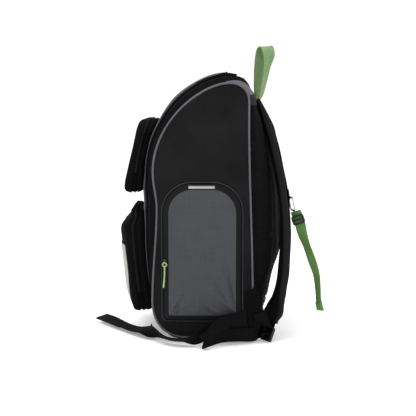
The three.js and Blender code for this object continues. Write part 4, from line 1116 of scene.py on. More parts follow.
class BACKPACK_OT_body(bpy.types.Operator):
    """Sew the base, back, sides, front, lid gusset and yoke"""

    bl_idname = "backpack.body"
    bl_label = "Body panels"

    wall = 2.0
    band_wall = 1.4
    half_width = 147.6  # of the base and the back panel, inside the piping

    def execute(self, context):
        self.add_base()
        self.add_back()
        for side in SIDES:
            self.add_side(side)
        self.add_front()
        self.add_gusset()
        self.add_yoke()
        return {"FINISHED"}

    def add_sheet(self, name, slot, rows, places, wall, finish_name=None, side="right"):
        parts = MeshParts()
        parts.grid(rows, places)
        piece = add_wall(parts.make(f"{name}_cloth", finish_name or slot, side=side), wall)
        return settle(piece, slot, name)

    def add_base(self):
        """The base, turned up along its edges and most at its corners."""
        front_lift = np.array([(-61, 13.5), (-54, 8), (-46, 4), (-34, 0), (60, 0), (74, 4), (82, 12)])
        side_lift = np.array([(112, 0), (122, 1), (130, 3), (140, 6.5), (147.6, 11)])
        depth = np.linspace(front_lift[0, 0], front_lift[-1, 0], 60)
        width = np.linspace(-self.half_width, self.half_width, 110)
        y, x = np.meshgrid(depth, width, indexing="ij")
        by_row, by_column = np.interp(y, *front_lift.T), np.interp(np.abs(x), *side_lift.T)
        corner = 5.5 * np.minimum(by_row / front_lift[0, 1], by_column / side_lift[-1, 1])
        rows = np.stack([x, y, np.maximum(by_row, by_column) + corner], -1)
        self.add_sheet("base_panel", "black_cloth", rows, rows[..., :2], self.wall)

    def add_back(self):
        down = np.linspace(6, BACK.length - 24, 50)
        along, x = np.meshgrid(down, np.linspace(-self.half_width, self.half_width, 40), indexing="ij")
        rows = back_surface(along, x)
        top = rows[:1].copy()
        top[..., 2] = YOKE_HEM
        rows = np.concatenate([top, rows])
        self.add_sheet("back_panel", "black_cloth", rows, rows[..., [0, 2]], self.wall)

    def add_side(self, side):
        rows, places = side_panel_rows()
        self.add_sheet(f"side_panel_{side}", "black_cloth", rows, places, self.wall, side=side)

    def add_front(self):
        low, high, corner = FRONT_EDGE["low"], FRONT_EDGE["high"], FRONT_EDGE["corner"]
        edge = PIPING["front_seat"]
        straight = np.linspace(low, high - corner, 130)
        bend = high - corner + (corner - edge) * np.sin(np.linspace(0, math.pi / 2, 16)[1:])
        along = np.concatenate([straight, bend])
        past = np.maximum(0, along - (high - corner))
        reach = FRONT_EDGE["half_width"] - corner + np.sqrt(np.maximum(0, (corner - edge) ** 2 - past**2))
        share = np.linspace(-1, 1, 81)
        x = reach[:, None] * share
        along = along[:, None] + 0 * x
        lift = cloth_swell() * (1 - share**4) * swells(x, along, 80, 1)
        rows = front_surface(along, x, lift)
        self.add_sheet("front_panel", "grey_cloth", rows, np.stack([x, along], -1), self.wall)

    def add_gusset(self):
        """The two cloth bands with their folded edges, and the zip between them."""
        near, far = GUSSET["zip_from"] - GUSSET["gap"], GUSSET["zip_to"] + GUSSET["gap"]
        start, end = PIPING["front_seat"], GUSSET["width"] + GUSSET["tuck"]
        bands = {
            "gusset_inner": (
                (start, 5, 9, near - 1.8, near - 0.5, near, near - 0.4),
                (0, 0.7, 0.9, 1.5, 1.9, 1.1, -0.4),
            ),
            "gusset_outer": (
                (far + 0.4, far, far + 0.5, far + 1.8, 27, 31, end),
                (-0.4, 1.1, 1.9, 1.5, 1.0, 0.7, 0),
            ),
        }
        for name, (offsets, lifts) in bands.items():
            rings = finer(np.stack([offsets, lifts], -1), 3)
            rows = gusset_rows(*rings.T)
            self.add_sheet(name, "black_cloth", rows, measured_map(rows), self.band_wall, "dull_cloth_painted_shade")
        offsets = np.linspace(GUSSET["zip_from"] - 2, GUSSET["zip_to"] + 2, 5)
        tape = gusset_rows(offsets, [-0.9] * 5)
        self.add_sheet("main_zip", "zip_tape", tape, measured_map(tape), 0.9)
        middle = (GUSSET["zip_from"] + GUSSET["zip_to"]) / 2
        along, x = gusset_line(middle)
        line = front_surface(along, x, -0.8)
        outward = unit(front_surface(along, x, 5.0) - line)
        teeth = MeshParts()
        add_zip_teeth(teeth, line, outward, 2.6)
        settle(teeth.make("main_zip_teeth", "zip_teeth"), "black_plastic")
        stitches = MeshParts()
        for offset in (near - 3.2, far + 3.2):
            along, x = gusset_line(offset)
            line = front_surface(along, x, 0.85)
            add_stitches(stitches, line, unit(front_surface(along, x, 5.0) - line))
        settle(stitches.make("gusset_stitching", "thread"), "black_cloth")

    def add_yoke(self):
        """The yoke over the top rear corner, turned in under its lower edge."""
        seam = GUSSET["width"] + GUSSET["gap"] + 0.5
        radius = FRONT_EDGE["corner"] + seam
        turn_at = FRONT_EDGE["high"] - FRONT_EDGE["corner"]
        turn_x = FRONT_EDGE["half_width"] - FRONT_EDGE["corner"]
        angle = np.linspace(0, math.pi / 2 * 0.94, 24)
        x = np.concatenate([np.linspace(0, turn_x, 24)[:-1], turn_x + radius * np.sin(angle)])
        along = np.concatenate([np.full(23, turn_at + radius), turn_at + radius * np.cos(angle)])
        x = np.concatenate([-x[:0:-1], x])
        along = np.concatenate([along[:0:-1], along])
        start = np.maximum(along, YOKE_START) - 1
        share = np.linspace(0, 1, 16)[:, None]
        rows = front_surface(start + (YOKE_SEAM - start) * share, x + 0 * share)
        self.add_sheet("yoke_panel", "yoke_cloth", rows, measured_map(rows), self.band_wall)
        lower = front_surface(YOKE_SEAM + (YOKE_END - YOKE_SEAM) * share, x + 0 * share)
        hem = lower[-1].copy()
        hem[:, 1] += (BACK_START[0] - hem[:, 1]) * 0.85
        hem[:, 2] -= 0.6
        backing = MeshParts()
        backing.grid(np.concatenate([lower, hem[None]]))
        settle(add_wall(backing.make("yoke_backing", "black_cloth"), self.band_wall), "black_cloth")
        before = (along < YOKE_START - 0.5) & (x > 0)
        corner = front_surface(along[before] + (YOKE_START - along[before]) * share, x[before] + 0 * share)
        for side in SIDES:
            parts = MeshParts()
            parts.grid(corner)
            piece = add_wall(parts.make(f"yoke_corner_{side}", "yoke_cloth", side=side), self.band_wall)
            settle(piece, "grey_cloth")


class BACKPACK_OT_piping(bpy.types.Operator):
    """Run the piping round both sides and round the front panel"""

    bl_idname = "backpack.piping"
    bl_label = "Piping"

    def execute(self, context):
        for side in SIDES:
            self.add_side_piping(side)
        self.add_front_piping()
        return {"FINISHED"}

    def add_side_piping(self, side):
        front = FRONT.at(np.linspace(0, FRONT.length, 240))
        back = BACK.at(np.linspace(0, BACK.length, 150))
        place, outward = (np.concatenate([a, b[1:]]) for a, b in zip(front, back))
        count = len(place)
        first = np.full((count, 1), HALF_WIDTH + 0.4)
        points = np.concatenate([first, place], 1)
        points[-1] = points[0]
        stations = line_stations(points, np.concatenate([np.zeros((count, 1)), outward], 1), closed=True)
        parts = MeshParts()
        parts.sweep(stations, round_section(PIPING["radius"], 12), loop=True)
        settle(parts.make(f"piping_side_{side}_cord", "piping", side=side), "piping", f"piping_side_{side}")

    def add_front_piping(self):
        """The cord round the front panel: grey up both sides, black over the lid."""
        along, x = gusset_line(0)
        line = front_surface(along, x, 0.3)
        stations = line_stations(line, front_surface(along, x, 5.0) - line)
        first = int(np.argmax(line[:, 1] > PIPING["lid_from"]))
        last = len(line) - first
        cord, lid_cord = MeshParts(), MeshParts()
        section = round_section(PIPING["front_radius"], 10)
        cord.sweep(part_of(stations, 0, first + 1), section)
        cord.sweep(part_of(stations, last - 1, None), section)
        lid_cord.sweep(part_of(stations, first, last), section)
        settle(cord.make("piping_front_cord", "front_piping"), "piping", "piping_front")
        settle(lid_cord.make("piping_front_lid_cord", "dull_cloth_painted_shade"), "piping")


# Back padding

def inflate(piece, held, pressure, cap):
    """Swells a closed piece by a cloth simulation. Held points stay; no other moves further than the cap."""
    mesh = piece.data
    rest = np.empty(len(mesh.vertices) * 3)
    mesh.vertices.foreach_get("co", rest)
    group = piece.vertex_groups.new(name="held")
    group.add(np.flatnonzero(held).tolist(), 1.0, "REPLACE")
    cloth = piece.modifiers.new("padding", "CLOTH")
    cloth.settings.quality = 6
    cloth.settings.vertex_group_mass = group.name
    cloth.settings.use_pressure = True
    cloth.settings.uniform_pressure_force = pressure
    cloth.settings.effector_weights.gravity = 0
    cloth.settings.tension_stiffness = 12
    cloth.settings.bending_stiffness = 0.6
    scene = bpy.context.scene
    for step in range(1, 21):
        scene.frame_set(step)
    swollen = piece.evaluated_get(bpy.context.evaluated_depsgraph_get()).to_mesh()
    grown = np.empty_like(rest)
    swollen.vertices.foreach_get("co", grown)
    piece.evaluated_get(bpy.context.evaluated_depsgraph_get()).to_mesh_clear()
    piece.modifiers.remove(cloth)
    piece.vertex_groups.remove(group)
    scene.frame_set(1)
    shift = (grown - rest).reshape(-1, 3)
    length = np.linalg.norm(shift, axis=1, keepdims=True)
    shift *= np.minimum(1, cap / np.maximum(length, 1e-9))
    mesh.vertices.foreach_set("co", rest + shift.ravel())
    mesh.update()


class BACKPACK_OT_back_pad(bpy.types.Operator):
    """Pad the back with mesh over foam, sewn across and down the middle"""

    bl_idname = "backpack.back_pad"
    bl_label = "Back pad"

    def execute(self, context):
        z = np.linspace(PAD["high"], PAD["low"], 111)[:, None]
        share = np.linspace(-1, 1, 91)[None]
        x = PAD["half_width"] * np.sin(share * math.pi / 2) + 0 * z
        height = z + 0 * x
        thick = np.interp(height, *PAD_THICKNESS.T)
        rounding = np.sqrt(1 - np.abs(x / (PAD["half_width"] + 1)) ** 5)
        channel = PAD["channel"] * np.exp(-((x / PAD["channel_half_width"]) ** 2)) * np.minimum(1, thick / 30)
        seams = sum(np.exp(-(((height - seam) / 5.0) ** 2)) for seam in PAD_SEAMS)
        lift = np.maximum(PAD["edge"], thick * rounding - channel - 2.4 * seams)
        along = np.maximum(0, BACK_START[1] - height)
        face = back_surface(along, x, lift)
        face[..., 2] = height
        seat = back_surface(along, x, 0.8)
        seat[..., 2] = height
        rows = np.concatenate([seat[:, :1], face, seat[:, -1:], seat[:, -2:0:-1]], 1)
        rows = np.concatenate([rows, rows[:, :1]], 1)
        girth = distance_along(rows[50])
        places = np.stack(np.broadcast_arrays(girth, height[:, :1]), -1)
        parts = MeshParts()
        parts.grid(rows, places, centre=np.mean(rows, axis=1), ring=True, caps=True)
        piece = parts.make("back_pad_mesh", "pad_mesh", sharp=70)
        self.swell(context, piece)
        settle(piece, "pad_mesh", "back_pad")
        self.add_seams(height, x, lift)
        return {"FINISHED"}

    def swell(self, context, piece):
        points = np.array([vertex.co for vertex in piece.data.vertices]) / MM
        held = np.zeros(len(points), bool)
        for seam in PAD_SEAMS:
            held |= np.abs(points[:, 2] - seam) < 2.2
        held |= np.abs(points[:, 0]) < 6
        held |= np.abs(points[:, 0]) > PAD["half_width"] - 2
        held |= (points[:, 2] > PAD["high"] - 2) | (points[:, 2] < PAD["low"] + 2)
        back = np.interp(points[:, 2], BACK.points[::-1, 1], BACK.points[::-1, 0])
        held |= points[:, 1] - back < 3
        inflate(piece, held, 4.0, context.scene.backpack_sizes.pad_puff)

    def add_seams(self, height, x, lift):
        """Lines of stitches across the pad, in its sewn grooves."""
        parts = MeshParts()
        for seam in PAD_SEAMS:
            row = int(np.argmin(np.abs(height[:, 0] - seam)))
            line = back_surface(np.full(x.shape[1], BACK_START[1] - seam), x[row], lift[row])
            add_stitches(parts, line[4:-4], BACKWARD, sink=-0.2)
        settle(parts.make("back_pad_stitching", "thread"), "pad_mesh")


# Pockets

class BACKPACK_OT_side_pockets(bpy.types.Operator):
    """Sew a zipped pocket on each side, with its reflective strip, slider and puller"""

    bl_idname = "backpack.side_pockets"
    bl_label = "Side pockets"

    wall = 1.6

    def execute(self, context):
        for side in SIDES:
            self.add_gusset(side)
            self.add_face(side)
            self.add_seam(side)
            self.add_zip(side)
            self.add_reflector(side)
            self.add_slider(side)
            self.add_puller(side)
        return {"FINISHED"}

    def add_gusset(self, side):
        rings = finer(SIDE_GUSSET, 4)
        rows = np.stack([side_surface(*pocket_loop(SIDE_POCKET, inset).T, depth) for inset, depth in rings])
        parts = MeshParts()
        parts.grid(rows, centre=np.array([100.0, 2, 160]), ring=True)
        piece = add_wall(parts.make(f"side_pocket_gusset_{side}_cloth", "black_cloth", side=side), self.wall)
        settle(piece, "black_cloth", f"side_pocket_gusset_{side}")

    def add_face(self, side):
        """The grey face, crowned, with creases that spread from its lower corners."""
        edge = SIDE_FACE[0][0]
        low, high = SIDE_POCKET.low + edge, SIDE_POCKET.high - edge
        radius = SIDE_POCKET.top_radius - edge
        half = SIDE_POCKET.half_width - edge
        turn = high - radius
        arch = turn + radius * np.sin(np.linspace(0, math.pi / 2, 30)[1:])
        z = np.concatenate([np.linspace(low, turn, 92), arch])
        past = np.clip(z - turn, 0, radius)
        reach = half - radius + np.sqrt(radius**2 - past**2)
        share = np.sin(np.linspace(-1, 1, 77) * math.pi / 2)
        y = SIDE_POCKET.middle + reach[:, None] * share
        z = z[:, None] + 0 * y
        inset = np.maximum(pocket_inset(SIDE_POCKET, y, z), edge)
        depth = np.interp(inset, *finer(SIDE_FACE, 6).T)
        fade = np.clip((inset - edge) / 6, 0, 1)
        rise = np.clip((z - low) / SIDE_SAG["rise"], 0, 1)
        fall = np.clip((z - low - SIDE_SAG["rise"]) / SIDE_SAG["fall"], 0, 1)
        sag = SIDE_SAG["depth"] * eased(rise) * (1 - eased(fall))
        creases = sum(crease_height(y, z, crease) for crease in SIDE_CREASES)
        depth += fade * (creases + cloth_swell() * swells(y, z, 60, 5) + sag)
        parts = MeshParts()
        parts.grid(side_surface(y, z, depth), np.stack([y, z], -1))
        piece = add_wall(parts.make(f"side_pocket_face_{side}_cloth", "grey_cloth", side=side), self.wall)
        settle(piece, "grey_cloth", f"side_pocket_face_{side}")

    def add_seam(self, side):
        loop = pocket_loop(SIDE_POCKET, -1.8)
        line = side_surface(loop[:, 0], loop[:, 1], 1.9)
        parts = MeshParts()
        parts.sweep(line_stations(line, RIGHTWARD, closed=True), round_section(1.3, 8), loop=True)
        # The cord's grey is a painted highlight on a black fold
        piece = parts.make(f"side_pocket_seam_{side}_cord", "seam_piping_highlight", side=side)
        settle(piece, "piping", f"side_pocket_seam_{side}")

    def add_zip(self, side):
        """The zip's teeth up both sides and over the arch, in the gusset's fold."""
        loop = pocket_loop(SIDE_POCKET, SIDE_ZIP["inset"], side_step=2.0)
        depth = np.interp(SIDE_ZIP["inset"], *finer(SIDE_GUSSET, 4).T)
        loop = loop[loop[:, 1] > SIDE_ZIP["low"]]
        loop = loop[np.argsort(np.arctan2(loop[:, 1] - 150, loop[:, 0] - SIDE_POCKET.middle))]
        steps = np.linalg.norm(np.diff(loop, axis=0), axis=1)
        widest = int(np.argmax(steps))
        if steps[widest] > 30:
            loop = np.roll(loop, -widest - 1, axis=0)
        line = side_surface(loop[:, 0], loop[:, 1], depth - 0.2)
        inward = side_surface(SIDE_POCKET.middle + 0 * loop[:, 0], np.minimum(loop[:, 1], 200), 60)
        outward = unit(np.array([1.0, 0, 0]) - 0.7 * unit((inward - line) * (0, 1, 1)))
        parts = MeshParts()
        add_zip_teeth(parts, line, outward, 1.5, 0.9)
        settle(parts.make(f"side_pocket_zip_{side}", "zip_teeth", side=side), "black_plastic")

    def add_reflector(self, side):
        y = np.linspace(SIDE_REFLECTOR["front"], SIDE_REFLECTOR["rear"], 40)
        profile = finer(((3.4, 11.6), (5.6, 14.2), (8, 16.0)), 5)
        rows = np.stack([
            side_surface(y, SIDE_POCKET.high - inset + 0 * y, depth) for inset, depth in profile
        ])
        parts = MeshParts()
        parts.grid(rows)
        piece = add_wall(parts.make(f"side_pocket_reflector_{side}_strip", "reflective", side=side), 0.7)
        settle(piece, "reflective", f"side_pocket_reflector_{side}")

    def place(self, side, seat, parts, name, finish_name):
        y, z = PULLER["place"]
        parts.turn(Matrix.Translation((float(side_reach(y, z)) + seat, y, z)))
        piece = parts.make(f"{name}_{side}_moulding", finish_name, side=side)
        settle(piece, finish_name, f"{name}_{side}")

    def add_slider(self, side):
        """A domed slider with a bridge for the puller."""
        parts = MeshParts()
        z = np.linspace(-1.5, 9.5, 12)
        width = np.interp(z, (-1.5, 0, 5, 7.5, 9.5), (1.6, 2.6, 3.4, 3.4, 1.4))
        height = np.interp(z, (-1.5, 0, 4, 8, 9.5), (0.5, 1.1, 1.5, 1.2, 0.5))
        centre = np.stack([0 * z, 0 * z, z], -1)
        stations = line_stations(centre, RIGHTWARD)
        section = round_section(1, 12)[None] * np.stack([width, height], -1)[:, None]
        parts.sweep(stations, section)
        arch = np.linspace(0, math.pi, 12)
        bridge = np.stack([0.9 + 1.9 * np.sin(arch), 0 * arch, 3.2 + 3.2 * np.cos(arch)], -1)
        parts.sweep(line_stations(bridge, BACKWARD), round_section(0.75, 8))
        self.place(side, SLIDER_SEAT, parts, "side_pocket_slider", "black_plastic")

    def add_puller(self, side):
        """A moulded ring with a slim bar that thickens towards its end."""
        parts = MeshParts()
        angle = np.linspace(0, 2 * math.pi, 33)
        ring = np.stack([0 * angle, np.sin(angle), np.cos(angle)], -1) * PULLER["ring"]
        parts.sweep(line_stations(ring, RIGHTWARD, closed=True), round_section(PULLER["wire"], 10), loop=True)
        z = -np.linspace(PULLER["ring"], PULLER["length"], 40)
        share = np.linspace(0, 1, 40)
        shape = np.array([(0, 0.75), (0.06, 1), (0.12, 0.85), (0.9, 1), (0.97, 0.9), (1, 0.35)])
        radius = PULLER["bar"] * np.interp(share, *shape.T)
        bar = np.stack([-0.8 * share, -2.2 * share**2, z], -1)
        parts.sweep(line_stations(bar, RIGHTWARD), round_section(1, 12)[None] * radius[:, None, None])
        self.place(side, PULLER_SEAT, parts, "side_pocket_puller", "green_rubber")


def front_pocket_point(pocket, x, z, depth):
    """A point of a front pocket, from the front panel at depth 0 to the pocket's face at depth 1."""
    panel = front_depth(x, z) - POCKET_SEAT
    (top_y, top_z), (low_y, low_z) = pocket.face_top, pocket.face_low
    face = low_y + (top_y - low_y) * (z - low_z) / (top_z - low_z)
    if pocket.shoulder_height:
        past = z - pocket.outline.high + pocket.shoulder_height
        over = np.clip(past / (0.8 * pocket.shoulder_height), 0, 1)
        face = face + pocket.shoulder_depth * eased(over)
    return np.stack(np.broadcast_arrays(x, panel + (face - panel) * depth, z), -1)


class BACKPACK_OT_front_pockets(bpy.types.Operator):
    """Sew the two zipped pockets on the front, the lower one with its reflective panel"""

    bl_idname = "backpack.front_pockets"
    bl_label = "Front pockets"

    wall = 1.6
    tape_wall = 0.9

    def execute(self, context):
        for name, pocket in (("upper_pocket", UPPER_POCKET), ("lower_pocket", LOWER_POCKET)):
            self.add_band(name, pocket, "gusset", POCKET_GUSSET, "black_cloth")
            self.add_band(name, pocket, "zip", POCKET_ZIP, "zip_tape")
            self.add_front(name, pocket)
            self.add_teeth(name, pocket)
        self.add_reflector()
        return {"FINISHED"}

    def rows(self, pocket, rings, slack=0.0):
        """Rings of a pocket's wall, with the slack cloth's vertical folds on its sides."""
        found = []
        for inset, depth in rings:
            x, z = pocket_loop(pocket.outline, inset).T
            fold = slack * swells(z, depth * 60 + 0 * z, 46, 2) * np.clip(depth * 4, 0, 1)
            side = np.clip((np.abs(x) - pocket.outline.half_width + 20) / 15, 0, 1)
            found.append(front_pocket_point(pocket, x + np.sign(x) * fold * side, z, depth))
        return np.stack(found)

    def add_band(self, name, pocket, part, rings, slot):
        slack, wall = (1.2, self.wall) if part == "gusset" else (0.4, self.tape_wall)
        rows = self.rows(pocket, finer(rings, 5), slack)
        middle = np.array([0.0, -70, (pocket.outline.low + pocket.outline.high) / 2])
        parts = MeshParts()
        parts.grid(rows, centre=middle, ring=True)
        piece = add_wall(parts.make(f"{name}_{part}_cloth", "dull_cloth_painted_shade"), wall)
        settle(piece, slot, f"{name}_{part}")

    def add_front(self, name, pocket):
        """The front with its rounded rim, drawn in to a point in the middle of its face."""
        rings = finer(pocket.rings, 6)
        walls = self.rows(pocket, rings, 0.8)
        last = walls[-1]
        middle_z = (pocket.outline.low + pocket.outline.high) / 2
        share = np.linspace(0, 0.985, 16)[1:, None]
        x, z = last[None, :, 0] * (1 - share), middle_z + (last[None, :, 2] - middle_z) * (1 - share)
        depth = rings[-1][1] + (pocket.tip - rings[-1][1]) * np.sin(share * math.pi / 2)
        rows = np.concatenate([walls, front_pocket_point(pocket, x, z, depth)])
        swell = cloth_swell() * np.linspace(0, 1, len(rows))[:, None]
        rows[..., 1] -= swell * swells(rows[..., 0], rows[..., 2], 70, 7)
        unrolled = distance_along(walls[:, 0])
        loops = [pocket_loop(pocket.outline, 34 - (unrolled[-1] - run)) for run in unrolled]
        places = np.concatenate([np.stack(loops), np.stack([x, z], -1)])
        parts = MeshParts()
        parts.grid(rows, places, centre=np.array([0.0, -70, middle_z]), ring=True)
        tip = parts.count - (rows.shape[1] - 1)
        parts.faces.append(list(range(tip, parts.count)))
        parts.places.append(places[-1, :-1])
        piece = add_wall(parts.make(f"{name}_front_cloth", "dull_cloth_painted_shade"), self.wall)
        settle(piece, "black_cloth", f"{name}_front")

    def add_teeth(self, name, pocket):
        """Zip teeth up the sides and over the top."""
        depth = POCKET_ZIP[1][1]
        x, z = pocket_loop(pocket.outline, -4.1, side_step=2.0).T
        upper = z > pocket.outline.low + 32
        order = np.argsort(np.arctan2(z[upper] - pocket.outline.low, x[upper]))
        x, z = x[upper][order], z[upper][order]
        line = front_pocket_point(pocket, x, z, depth)
        outer = pocket_loop(pocket.outline, -9.1, side_step=2.0)[upper][order]
        outward = unit(np.stack([outer[:, 0] - x, 0 * x, outer[:, 1] - z], -1))
        parts = MeshParts()
        add_zip_teeth(parts, line, outward, 2.3)
        settle(parts.make(f"{name}_zip_teeth", "zip_teeth"), "black_plastic")

    def add_reflector(self):
        z, x = np.meshgrid(
            np.linspace(LOWER_REFLECTOR["low"], LOWER_REFLECTOR["high"], 40),
            np.linspace(-LOWER_REFLECTOR["half_width"], LOWER_REFLECTOR["half_width"], 60),
            indexing="ij",
        )
        tip = LOWER_POCKET.tip
        profile = np.array([*finer(FULL_FRONT, 6)[24:], (60, tip * 0.97), (86, tip)])
        depth = np.interp(pocket_inset(LOWER_POCKET.outline, x, z), *profile.T)
        rows = front_pocket_point(LOWER_POCKET, x, z, depth)
        rows[..., 1] -= LOWER_REFLECTOR["lift"] + cloth_swell() * swells(x, z, 70, 7)
        parts = MeshParts()
        parts.grid(rows, np.stack([x, z], -1))
        piece = add_wall(parts.make("lower_pocket_reflector_film", "reflective"), 0.8)
        settle(piece, "reflective", "lower_pocket_reflector")


# Straps

def strap_section(width, thick):
    """Section of a padded strap: a bound edge on each side and a crowned face."""
    shares = np.concatenate([STRAP_SECTION[:0:-1] * (-1, 1), STRAP_SECTION])
    upper = shares * (width / 2, thick / 2)
    return np.concatenate([upper, upper[::-1] * (1, -1)])


class BACKPACK_OT_shoulder_straps(bpy.types.Operator):
    """Make both padded shoulder straps with their bindings, tapes and lower fittings"""

    bl_idname = "backpack.shoulder_straps"
    bl_label = "Shoulder straps"

    tape_first = 24  # station where the tape begins, a little below the strap's top
    tape_ease = 14  # stations over which it comes out of the strap
    tack_every = 22  # stations between the tape's bar tacks
    tape_bow = {"right": 0.7, "left": 0.0}  # how far the tape stands off between its tacks
    tape_seat = {"right": 0.4, "left": -0.3}  # gap under the tape; the left one is sewn down into the mesh

    def execute(self, context):
        share = np.linspace(0, 1, STRAP["steps"] + 1)
        width = STRAP["width"] * np.interp(share, STRAP_SHAPE[:, 0], STRAP_SHAPE[:, 1])
        thick = STRAP["thick"] * np.interp(share, STRAP_SHAPE[:, 0], STRAP_SHAPE[:, 2])
        for side in SIDES:
            stations = ribbon(STRAP_LINES[side], STRAP["steps"])
            self.add_pad(side, stations, width, thick)
            self.add_binding(side, stations, width, thick)
            self.add_tape(side, stations, thick)
            self.add_lower_fittings(side)
        return {"FINISHED"}

    def add_pad(self, side, stations, width, thick):
        wave = 1 + 0.03 * np.sin(np.arange(len(width)) * 2 * math.pi / self.tack_every)
        section = np.stack([strap_section(w, t * k) for w, t, k in zip(width, thick, wave)])
        parts = MeshParts()
        parts.sweep(stations, section)
        piece = parts.make(f"shoulder_strap_{side}_pad", "pad_mesh", sharp=80, side=side)
        self.swell(piece, section)
        settle(piece, "pad_mesh", f"shoulder_strap_{side}")

    def swell(self, piece, section):
        """Puffs the strap out between its bound edges, its tape and the rows of bar tacks."""
        across, out = np.abs(section[..., 0]), section[..., 1]
        station = np.arange(len(section))[:, None] + 0 * across
        held = across > 0.82 * across.max(axis=1, keepdims=True)
        held |= (out < 0) & (across < WEBBING["strap"] / 2 + 1)
        held |= (station < 5) | (station > len(section) - 30) | (station % self.tack_every < 2)
        every = np.ones(len(piece.data.vertices), bool)
        every[:held.size] = held.ravel()
        inflate(piece, every, 4.0, bpy.context.scene.backpack_sizes.strap_puff)

    def add_binding(self, side, stations, width, thick):
        """A tape folded over each long edge and sewn through."""
        parts = MeshParts()
        stitches = MeshParts()
        rise = thick * 0.5 * 0.66 + 0.5
        for sign in (-1, 1):
            edge = width / 2 * sign
            fold = edge[:, None] + sign * BINDING_FOLD[:, 0] * BINDING_REACH
            parts.sweep(stations, np.stack([fold, rise[:, None] * BINDING_FOLD[:, 1]], -1))
            for face in (-1, 1):
                line = stations.centre + stations.across * (edge - sign * 3.4)[:, None]
                line = line + stations.out * (face * rise)[:, None]
                add_stitches(stitches, line, stations.out * face)
        settle(parts.make(f"strap_binding_{side}", "binding", side=side), "black_webbing")
        settle(stitches.make(f"strap_stitching_{side}", "thread", side=side), "black_webbing")

    def add_tape(self, side, stations, thick):
        """The tape down the strap's outer face, bowed between its bar tacks."""
        count = len(thick) - self.tape_first
        run = np.arange(count)
        bow = self.tape_bow[side] * np.sin(run * math.pi / self.tack_every) ** 2
        seat = (self.tape_seat[side] + WEBBING["thick"] / 2) * np.minimum(1, run / self.tape_ease)
        away = thick[self.tape_first:] / 2 + seat + bow
        line = moved(part_of(stations, self.tape_first, None), -away)
        parts = MeshParts()
        parts.sweep(line, strip_section(WEBBING["strap"], WEBBING["thick"]))
        piece = parts.make(f"strap_webbing_{side}_tape", "black_webbing", side=side)
        settle(piece, "black_webbing", f"strap_webbing_{side}")
        tacks = MeshParts()
        for k in range(self.tack_every, count, self.tack_every):
            for shift in (-1.0, 0.0, 1.0):
                along = np.linspace(-0.45, 0.45, 24)[:, None] * WEBBING["strap"]
                middle = line.centre[k] - line.out[k] * 0.7 + np.cross(line.across[k], line.out[k]) * shift
                points = middle + line.across[k] * along
                add_stitches(tacks, points, -line.out[k])
        settle(tacks.make(f"strap_tacks_{side}", "thread", side=side), "black_webbing")

    def add_lower_fittings(self, side):
        """The strap's end webbing, the anchor wing and its webbing, and the ladder lock between them."""
        for name, line in (("strap_end", STRAP_END_LINES[side]), ("anchor_webbing", ANCHOR_LINE)):
            parts = MeshParts()
            parts.sweep(ribbon(line, 40, WEBBING["strap"]), strip_section(WEBBING["strap"], WEBBING["thick"]))
            piece = parts.make(f"{name}_{side}_strip", "black_webbing", side=side)
            settle(piece, "black_webbing", f"{name}_{side}")
        self.add_anchor(side)
        self.add_lock(side)

    def add_anchor(self, side):
        """A wing of doubled cloth with a turned edge and a row of stitches."""
        corners = np.array(ANCHOR["outline"], float)
        ahead = np.roll(corners, -1, axis=0)
        share = np.linspace(0.08, 0.92, 9)[:, None]
        loop = np.concatenate([a + (b - a) * share for a, b in zip(corners, ahead)])
        loop = np.concatenate([loop, loop[:1]])
        middle = corners.mean(axis=0)
        half = ANCHOR["thick"] / 2
        profile = (
            (0.0, 0.75), (0.25, 0.8), (0.5, 0.8), (0.75, 0.8),
            (0.9, 0.85), (0.97, 0.9), (0.995, 0.55), (1.0, 0.0),
        )
        profile = profile + tuple((s, -h) for s, h in profile[-2::-1])
        rows = []
        for size, height in profile:
            place = middle + (loop - middle) * max(size, 0.01)
            bend = 1.5 * (place[:, 1] - 60) / 40
            rows.append(np.stack([ANCHOR["x"] + half * height + bend, place[:, 0], place[:, 1]], -1))
        rows = np.stack(rows)
        parts = MeshParts()
        parts.grid(rows, rows[..., 1:], centre=np.array([ANCHOR["x"], *middle]), ring=True, caps=True)
        piece = parts.make(f"strap_anchor_{side}_wing", "dull_cloth_painted_shade", side=side)
        settle(piece, "black_cloth", f"strap_anchor_{side}")
        stitches = MeshParts()
        add_stitches(stitches, rows[4], RIGHTWARD)
        settle(stitches.make(f"strap_anchor_stitching_{side}", "thread", side=side), "black_cloth")

    def add_lock(self, side):
        parts = MeshParts()
        add_frame(parts, LADDER_LOCK, grip=True)
        turn = Euler((math.radians(LADDER_LOCK_TURN["lean"]), 0, 0)).to_matrix()
        turn = Matrix.Rotation(math.radians(LADDER_LOCK_TURN["yaw"]), 3, "Z") @ turn
        parts.turn(Matrix.Translation(LADDER_LOCK["place"]) @ turn.to_4x4())
        piece = parts.make(f"ladder_lock_{side}_moulding", "black_plastic", side=side)
        settle(piece, "black_plastic", f"ladder_lock_{side}")


def add_frame(parts, size, grip=False):
    """A moulded frame with a bar across it, standing in the XZ plane."""
    rim, thick = size["rim"], size["thick"]
    half_width, half_height = size["half_width"] - rim / 2, size["half_height"] - rim / 2
    loop = rounded_loop(half_width, half_height, 2.2)
    points = np.stack([loop[:, 0], 0 * loop[:, 0], loop[:, 1]], -1)
    section = rounded_loop(thick / 2, rim / 2, 0.9, 4)[:-1]
    parts.sweep(line_stations(points, points, closed=True), section, loop=True)
    bar = np.linspace(-half_width, half_width, 12)
    across = np.stack([bar, 0 * bar, 0 * bar], -1)
    parts.sweep(line_stations(across, UPWARD), section)
    if grip:
        lip = np.stack([bar, 0 * bar - thick * 0.35, 0 * bar - half_height - rim * 0.2], -1)
        parts.sweep(line_stations(lip, UPWARD), rounded_loop(1.2, 1.1, 0.7, 4)[:-1])


# Loose webbing

